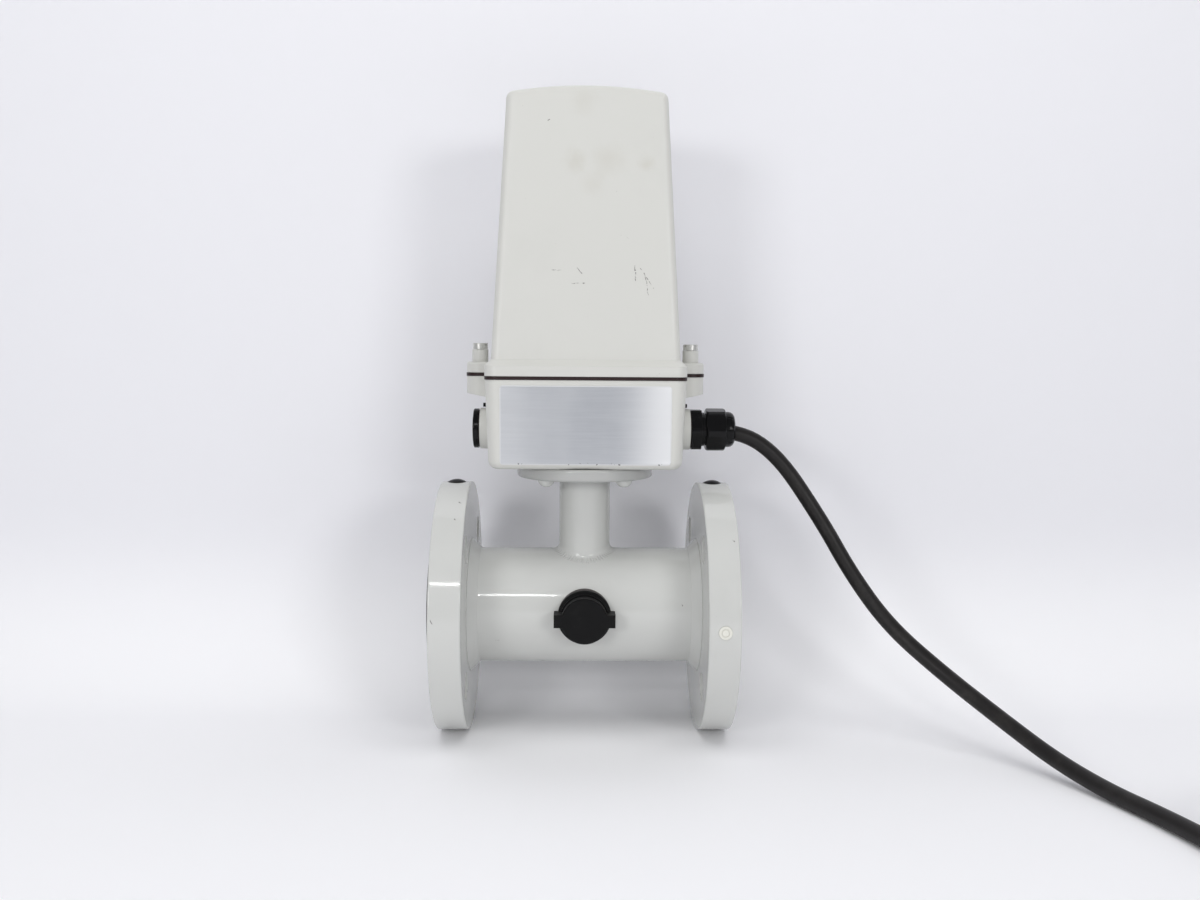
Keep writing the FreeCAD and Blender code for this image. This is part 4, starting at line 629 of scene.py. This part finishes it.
def rubber(name, colour, rough=0.6, bloom=0.2, shine=0.4):
    """Rubber with a soft sheen and powdery bloom."""
    shade = Shade(name, rough, Specular_IOR_Level=shine)
    powder = shade.ramp(shade.noise(60, 5, 0.7), 0.45, 0.85)
    shade.set(Base_Color=shade.mix(powder * bloom, colour, tint(112, 108, 102)))
    shade.set(Roughness=shade.noise(300, 3) * 0.2 + (rough - 0.1))
    shade.bump(shade.noise(1800, 3, 0.6), 0.0003, 0.12, 0.2)
    return shade


def foil_shade():
    """Bluish silver foil with a pale border, soft smears, fine brushing and nicks low down."""
    shade = Shade("plate_foil", 0.34)
    brushed = shade.noise(700, 3, 0.6, shade.stretched((0.04, 1, 1)))
    smears = shade.ramp(shade.noise(22, 4, 0.6, shade.stretched((1, 1, 0.5))), 0.35, 0.7)
    foil = shade.mix(shade.ramp(brushed, 0.3, 0.7) * 0.3, tint(178, 181, 186), tint(198, 200, 204))
    foil = shade.mix(smears * 0.5, foil, tint(194, 196, 199))
    left, right = (MID_X + side * PLATE_HALF_WIDTH for side in (-1, 1))
    east = shade.ramp(shade.axis("X"), MID_X + 15 * MM, right)
    west = shade.ramp(shade.axis("X"), MID_X - 20 * MM, left)
    foil = shade.mix(east * 0.95 + west * 0.35, foil, tint(236, 237, 238))
    face = shade.inside(X=(left / MM + PLATE_BORDER, right / MM - PLATE_BORDER),
                        Z=(PLATE_LOW / MM + PLATE_BORDER, PLATE_HIGH / MM - PLATE_BORDER))
    colour = shade.mix((1 - face) * 0.8, foil, tint(216, 217, 218))
    low = shade.ramp(shade.axis("Z"), PLATE_LOW + 1.8 * MM, PLATE_LOW + 0.6 * MM)
    nicks = shade.ramp(shade.noise(420, 2, 0.5), 0.66, 0.7) * low
    colour = shade.mix(nicks * 0.85, colour, tint(70, 66, 62))
    shade.set(Base_Color=colour, Metallic=face * 0.42, Roughness=brushed * 0.14 + smears * 0.06 + 0.26)
    shade.bump(brushed, 0.0002, 0.08)
    return shade


def circuit_paint(shade, colour):
    """Lacquered board: copper tracks a shade lighter, and pale solder pads in places."""
    track = shade.math("ABSOLUTE", shade.noise(75, 1, 0.3) - 0.5)
    tracks = shade.ramp(track, 0.012, 0.006)
    pads = shade.ramp(shade.noise(330, 0, 0.3), 0.76, 0.78)
    painted = shade.mix(tracks * 0.35, colour, tint(70, 140, 92))
    return shade.mix(pads, painted, tint(198, 196, 186)), pads


def board_shade(name, fitted=()):
    """A circuit board, with its components told apart by the boxes that they fill.

    Each of fitted is the box's limits in mm, and the component's colour, metallic share and roughness.
    """
    shade = Shade(name, 0.3)
    colour, pads = circuit_paint(shade, tint(26, 88, 50))
    metallic, rough = pads * 0.8, shade.noise(130, 4) * 0.1 + 0.26
    for limits, paint, shiny, dull in fitted:
        mask = shade.inside(**limits)
        colour = shade.mix(mask, colour, paint)
        metallic = metallic * (1 - mask) + mask * shiny
        rough = rough * (1 - mask) + mask * dull
    shade.set(Base_Color=colour, Metallic=metallic, Roughness=rough)
    shade.bump(shade.noise(1500, 2, 0.5), 0.0002, 0.04, 0.3)
    return shade


CELL_X = (75.5, 124.6)  # where the display's cells lie, in mm
CELL_Z = (253.5, 271.5)
CELL_WIDTH, CELL_HEIGHT = 3.1, 9


def display_shade():
    """A liquid-crystal pane: grey-green, with a dark edge and two faint rows of unlit cells."""
    shade = Shade("display_glass", 0.12)
    across = shade.math("FRACT", (shade.axis("X") - CELL_X[0] * MM) * (1 / (CELL_WIDTH * MM)))
    up = shade.math("FRACT", (shade.axis("Z") - CELL_Z[0] * MM) * (1 / (CELL_HEIGHT * MM)))
    cells = shade.ramp(across, 0.1, 0.16) * shade.ramp(across, 0.94, 0.88)
    cells = cells * shade.ramp(up, 0.12, 0.16) * shade.ramp(up, 0.8, 0.76)
    cells = cells * shade.inside(X=CELL_X, Z=CELL_Z)
    pane = shade.mix(cells * 0.22, tint(148, 158, 132), tint(112, 122, 102))
    edge = 1 - shade.inside(X=(73.4, 126.6), Z=(248.4, 275.6))
    shade.set(Base_Color=shade.mix(edge, pane, tint(34, 36, 38)))
    shade.set(Roughness=shade.noise(40, 3) * 0.06 + 0.08)
    return shade


WELL_RADIUS = 1.8  # mm, as the next three are
WELL_FOOT = (117.3, 117.9)
WELL_PITCH = 5.5
WELLS_START_Y = -16.5


def terminal_shade(name, centre):
    """Green terminals in a row at X = centre mm; the foot of each well is a bright slotted screw."""
    shade = Shade(name, 0.45)
    well = shade.inside(X=(centre - WELL_RADIUS, centre + WELL_RADIUS), Z=WELL_FOOT)
    way = shade.math("FRACT", (shade.axis("Y") - WELLS_START_Y * MM) * (1 / (WELL_PITCH * MM))) - 0.5
    # Each screw head's slot is a dark stripe of colour: painted shade in the slot's recess.
    slot = shade.ramp(shade.math("ABSOLUTE", way), 0.05, 0.09)
    dust = shade.ramp(shade.noise(70, 5, 0.65), 0.5, 0.85)
    green = shade.mix(dust * 0.1, tint(58, 122, 70), DUST)
    screw = shade.mix(slot, tint(60, 58, 54), tint(206, 204, 196))
    shade.set(Base_Color=shade.mix(well, green, screw), Metallic=well * 0.9,
              Roughness=shade.noise(130, 4) * 0.16 + 0.36)
    shade.bump(shade.noise(3500, 2, 0.6), 0.0003, 0.05, 0.25)
    return shade


BROWN = tint(112, 66, 40)
BLUE = tint(44, 92, 168)
CORES_APART, CORES_TOGETHER = 133.5 * MM, 148 * MM
CORE_GAP = 1.8 * MM
JACKET_END = 147.9 * MM


def supply_shade():
    """The jacket's end in rubber, then three cores, brown, blue and green-yellow, to the terminals."""
    shade = Shade("supply_cores", 0.45)
    x, y = shade.axis("X"), shade.axis("Y")
    fan = shade.ramp(x, CORES_APART, CORES_TOGETHER)
    first = fan * (-CORE_GAP / 2)
    second = fan * (CORE_GAP / 2) + (1 - fan) * (WELL_PITCH * MM)
    colour = shade.mix(shade.math("GREATER_THAN", y - first, 0.0), BROWN, BLUE)
    striped = shade.mix(shade.ramp(shade.math("SINE", x * 1800), -0.1, 0.1), tint(60, 140, 66),
                        tint(214, 196, 60))
    colour = shade.mix(shade.math("GREATER_THAN", y - second, 0.0), colour, striped)
    jacket = shade.math("GREATER_THAN", x, JACKET_END)
    shade.set(Base_Color=shade.mix(jacket, colour, tint(26, 25, 26)))
    shade.set(Roughness=jacket * 0.15 + shade.noise(300, 3) * 0.1 + 0.35)
    shade.bump(shade.noise(1800, 3, 0.6), 0.0003, 0.06)
    return shade


def striped_core():
    """A core's skin, green along its lower side and yellow along its upper one."""
    shade = Shade("striped_core", 0.4)
    side = shade.ramp(shade.axis("Z"), FLOOR_Z + 0.9 * MM, FLOOR_Z + 1.3 * MM)
    shade.set(Base_Color=shade.mix(side, tint(52, 132, 60), tint(216, 198, 60)))
    shade.set(Roughness=shade.noise(300, 3) * 0.15 + 0.34)
    shade.bump(shade.noise(1800, 3, 0.6), 0.0003, 0.06)
    return shade


floor.data.materials.append(card("floor_card").material)
backdrop.data.materials.append(card("backdrop_card", one_sided=True).material)

COVER_COLOUR = tint(208, 208, 203)
BODY_COLOUR = tint(205, 206, 203)
cover_paint = sprayed("cover_paint", COVER_COLOUR, marks=(
    ((78, -40.4, 220.2), (84, -40.4, 220.6), 0.4),
    ((94, -40.4, 221.6), (97, -40.5, 218.5), 0.35),
    ((90.9, -40.8, 212.2), (98.4, -40.8, 212.3), 0.4),
    ((130.3, -40.3, 223.8), (131.0, -40.6, 212), 0.35),
    ((133.5, -40.3, 222), (142, -40.9, 209), 0.3),
    ((136, -40.3, 219), (139, -40.9, 205), 0.3),
    ((75.5, -36.5, 312.3), (76.5, -36.4, 313), 0.45),
), stains=(
    ((92.4, -37.5, 288.4), 17, 0.34),
    ((136.1, -37.6, 285.8), 15, 0.28),
    ((113.7, -37.5, 289.0), 22, 0.2),
    ((104, -38.0, 274.0), 18, 0.14),
    ((97, -37.0, 326.0), 20, 0.16),
))
box_paint = sprayed("box_paint", COVER_COLOUR)
body_paint = sprayed("body_paint", BODY_COLOUR, marks=(
    ((19.7, -37.4, 73.5), (20.5, -38.5, 73.0), 0.5),
    ((18.6, -51.3, 64.6), (19.0, -52.0, 64.0), 0.5),
    ((6.6, -82.1, 8.2), (7.9, -82.3, 5.2), 0.4),
    ((191.4, -62.6, 53.7), (193.0, -63.4, 52.9), 0.5),
    ((165.5, -1.0, 36.0), (172.0, -6.0, 37.6), 0.4),
    ((42.0, -34.3, -16.5), (45.5, -34.3, -16.7), 0.4),
    ((162.0, -37.3, 7.4), (162.6, -37.3, 7.0), 0.5),
), rough=0.09, peel=0.015, edge=0.8, chips=0.06, weld=True)
# The neck flange's disc gets a darker paint than the body: painted shade for the box's shadow over it,
# as the real disc has the body's paint.
neck_paint_with_painted_shade = sprayed("neck_paint_with_painted_shade", tint(178, 179, 177), rough=0.09, peel=0.015, edge=0.8)
gland_plastic = moulded("gland_plastic", tint(14, 14, 15), 0.2, shine=0.2, dust=0.03, worn=0.1, edge=0.4)
black_plastic = moulded("black_plastic", tint(16, 16, 18), 0.3, shine=0.14, dust=0.03, worn=0.1)
port_plastic = moulded("port_plastic", tint(15, 15, 16), 0.5, 0.08, shine=0.14, dust=0.04, worn=0.1)
chassis_plastic = moulded("chassis_plastic", tint(60, 60, 62), 0.5)
supply_green = terminal_shade("supply_terminals", 130.5)
signal_green = terminal_shade("signal_terminals", 69.5)
white_plastic = moulded("white_plastic", tint(228, 227, 218), 0.35, 0.02, 0.04, worn=0.0)
bare_board = board_shade("terminal_board")
power_board = board_shade("power_board", (
    (dict(X=(73, 105), Y=(None, -2.7), Z=(170.5, 197.5)), tint(58, 56, 56), 0.2, 0.5),
    (dict(X=(79, 99), Y=(None, -2.7), Z=(170.5, 197.5)), tint(186, 156, 78), 0.0, 0.35),
    (dict(X=(111, 125), Y=(None, -2.7), Z=(170, 224)), tint(30, 34, 58), 0.0, 0.35),
    (dict(X=(111, 125), Y=(None, -19.45), Z=(170, 224)), tint(190, 190, 192), 0.9, 0.3),
    (dict(X=(75.5, 96.5), Y=(None, -2.7), Z=(220.5, 245.5)), tint(24, 24, 26), 0.0, 0.5),
    (dict(X=(71.5, 128.5), Y=(None, -2.7), Z=(283.5, 296.5)), tint(220, 214, 196), 0.0, 0.45),
))
signal_board = board_shade("signal_board", (
    (dict(X=(77.5, 122.5), Y=(2.7, None), Z=(172.5, 207.5)), tint(196, 196, 192), 0.95, 0.32),
))
steel = metal("steel", tint(222, 222, 218), 0.38, metallic=0.72)
iron = metal("iron", tint(92, 92, 94), 0.5)
copper = metal("copper", tint(184, 110, 70), 0.35)
black_rubber = rubber("black_rubber", tint(38, 22, 22), 0.45, 0.08, 0.3)
liner_rubber = rubber("liner_rubber", tint(44, 44, 44), 0.5)
cord_rubber = rubber("cord_rubber", tint(32, 30, 30), 0.42, 0.12, 0.25)
brown_core = rubber("brown_core", BROWN, 0.4, 0.05)
blue_core = rubber("blue_core", BLUE, 0.4, 0.05)
green_core = striped_core()
plate_foil = foil_shade()
display = display_shade()
glass = Shade("window_glass", 0.02, Transmission_Weight=1.0, IOR=1.5)
glass.set(Base_Color=(0.95, 0.97, 0.97))

dress(cover_paint, "cover")
dress(box_paint, "terminal_box")
dress(body_paint, "inlet_flange", "outlet_flange", "sensor_housing", "neck_screws")
dress(neck_paint_with_painted_shade, "neck_flange")
dress(steel, "measuring_tube", "front_electrode", "rear_electrode", "electrode_nuts", "left_cover_screw",
      "right_cover_screw", "module_screws", "window_screws", "board_spacers", "window_frame")
dress(liner_rubber, "liner")
dress(copper, "upper_coil", "lower_coil", "cord_cores")
dress(iron, "upper_pole_shoe", "lower_pole_shoe", "return_yoke")
dress(black_rubber, "port_seals", "box_gasket", "neck_seal", "blanking_seal", "gland_seal",
      "gland_insert", "window_seal")
dress(port_plastic, "front_port_plug", "rear_port_plug")
dress(black_plastic, "inlet_rim_plug", "outlet_rim_plug", "side_pins", "display_module", "coil_tie")
dress(gland_plastic, "blanking_plug", "gland_body", "gland_nut")
dress(white_plastic, "outlet_side_plug", "electrode_bushes")
dress(bare_board, "terminal_board")
dress(power_board, "power_board")
dress(signal_board, "signal_board")
dress(supply_green, "supply_terminals")
dress(signal_green, "signal_terminals")
dress(chassis_plastic, "module_chassis")
dress(display, "display_pane")
dress(glass, "window_glass")
dress(cord_rubber, "sensor_cable")
dress(supply_shade(), "supply_cores")
cord.data.materials.append(cord_rubber.material)
plate.data.materials.append(plate_foil.material)
for (_, core, sleeve), skin in zip(cord_cores, (brown_core, blue_core, green_core)):
    core.data.materials.append(skin.material)
    sleeve.data.materials.append(steel.material)
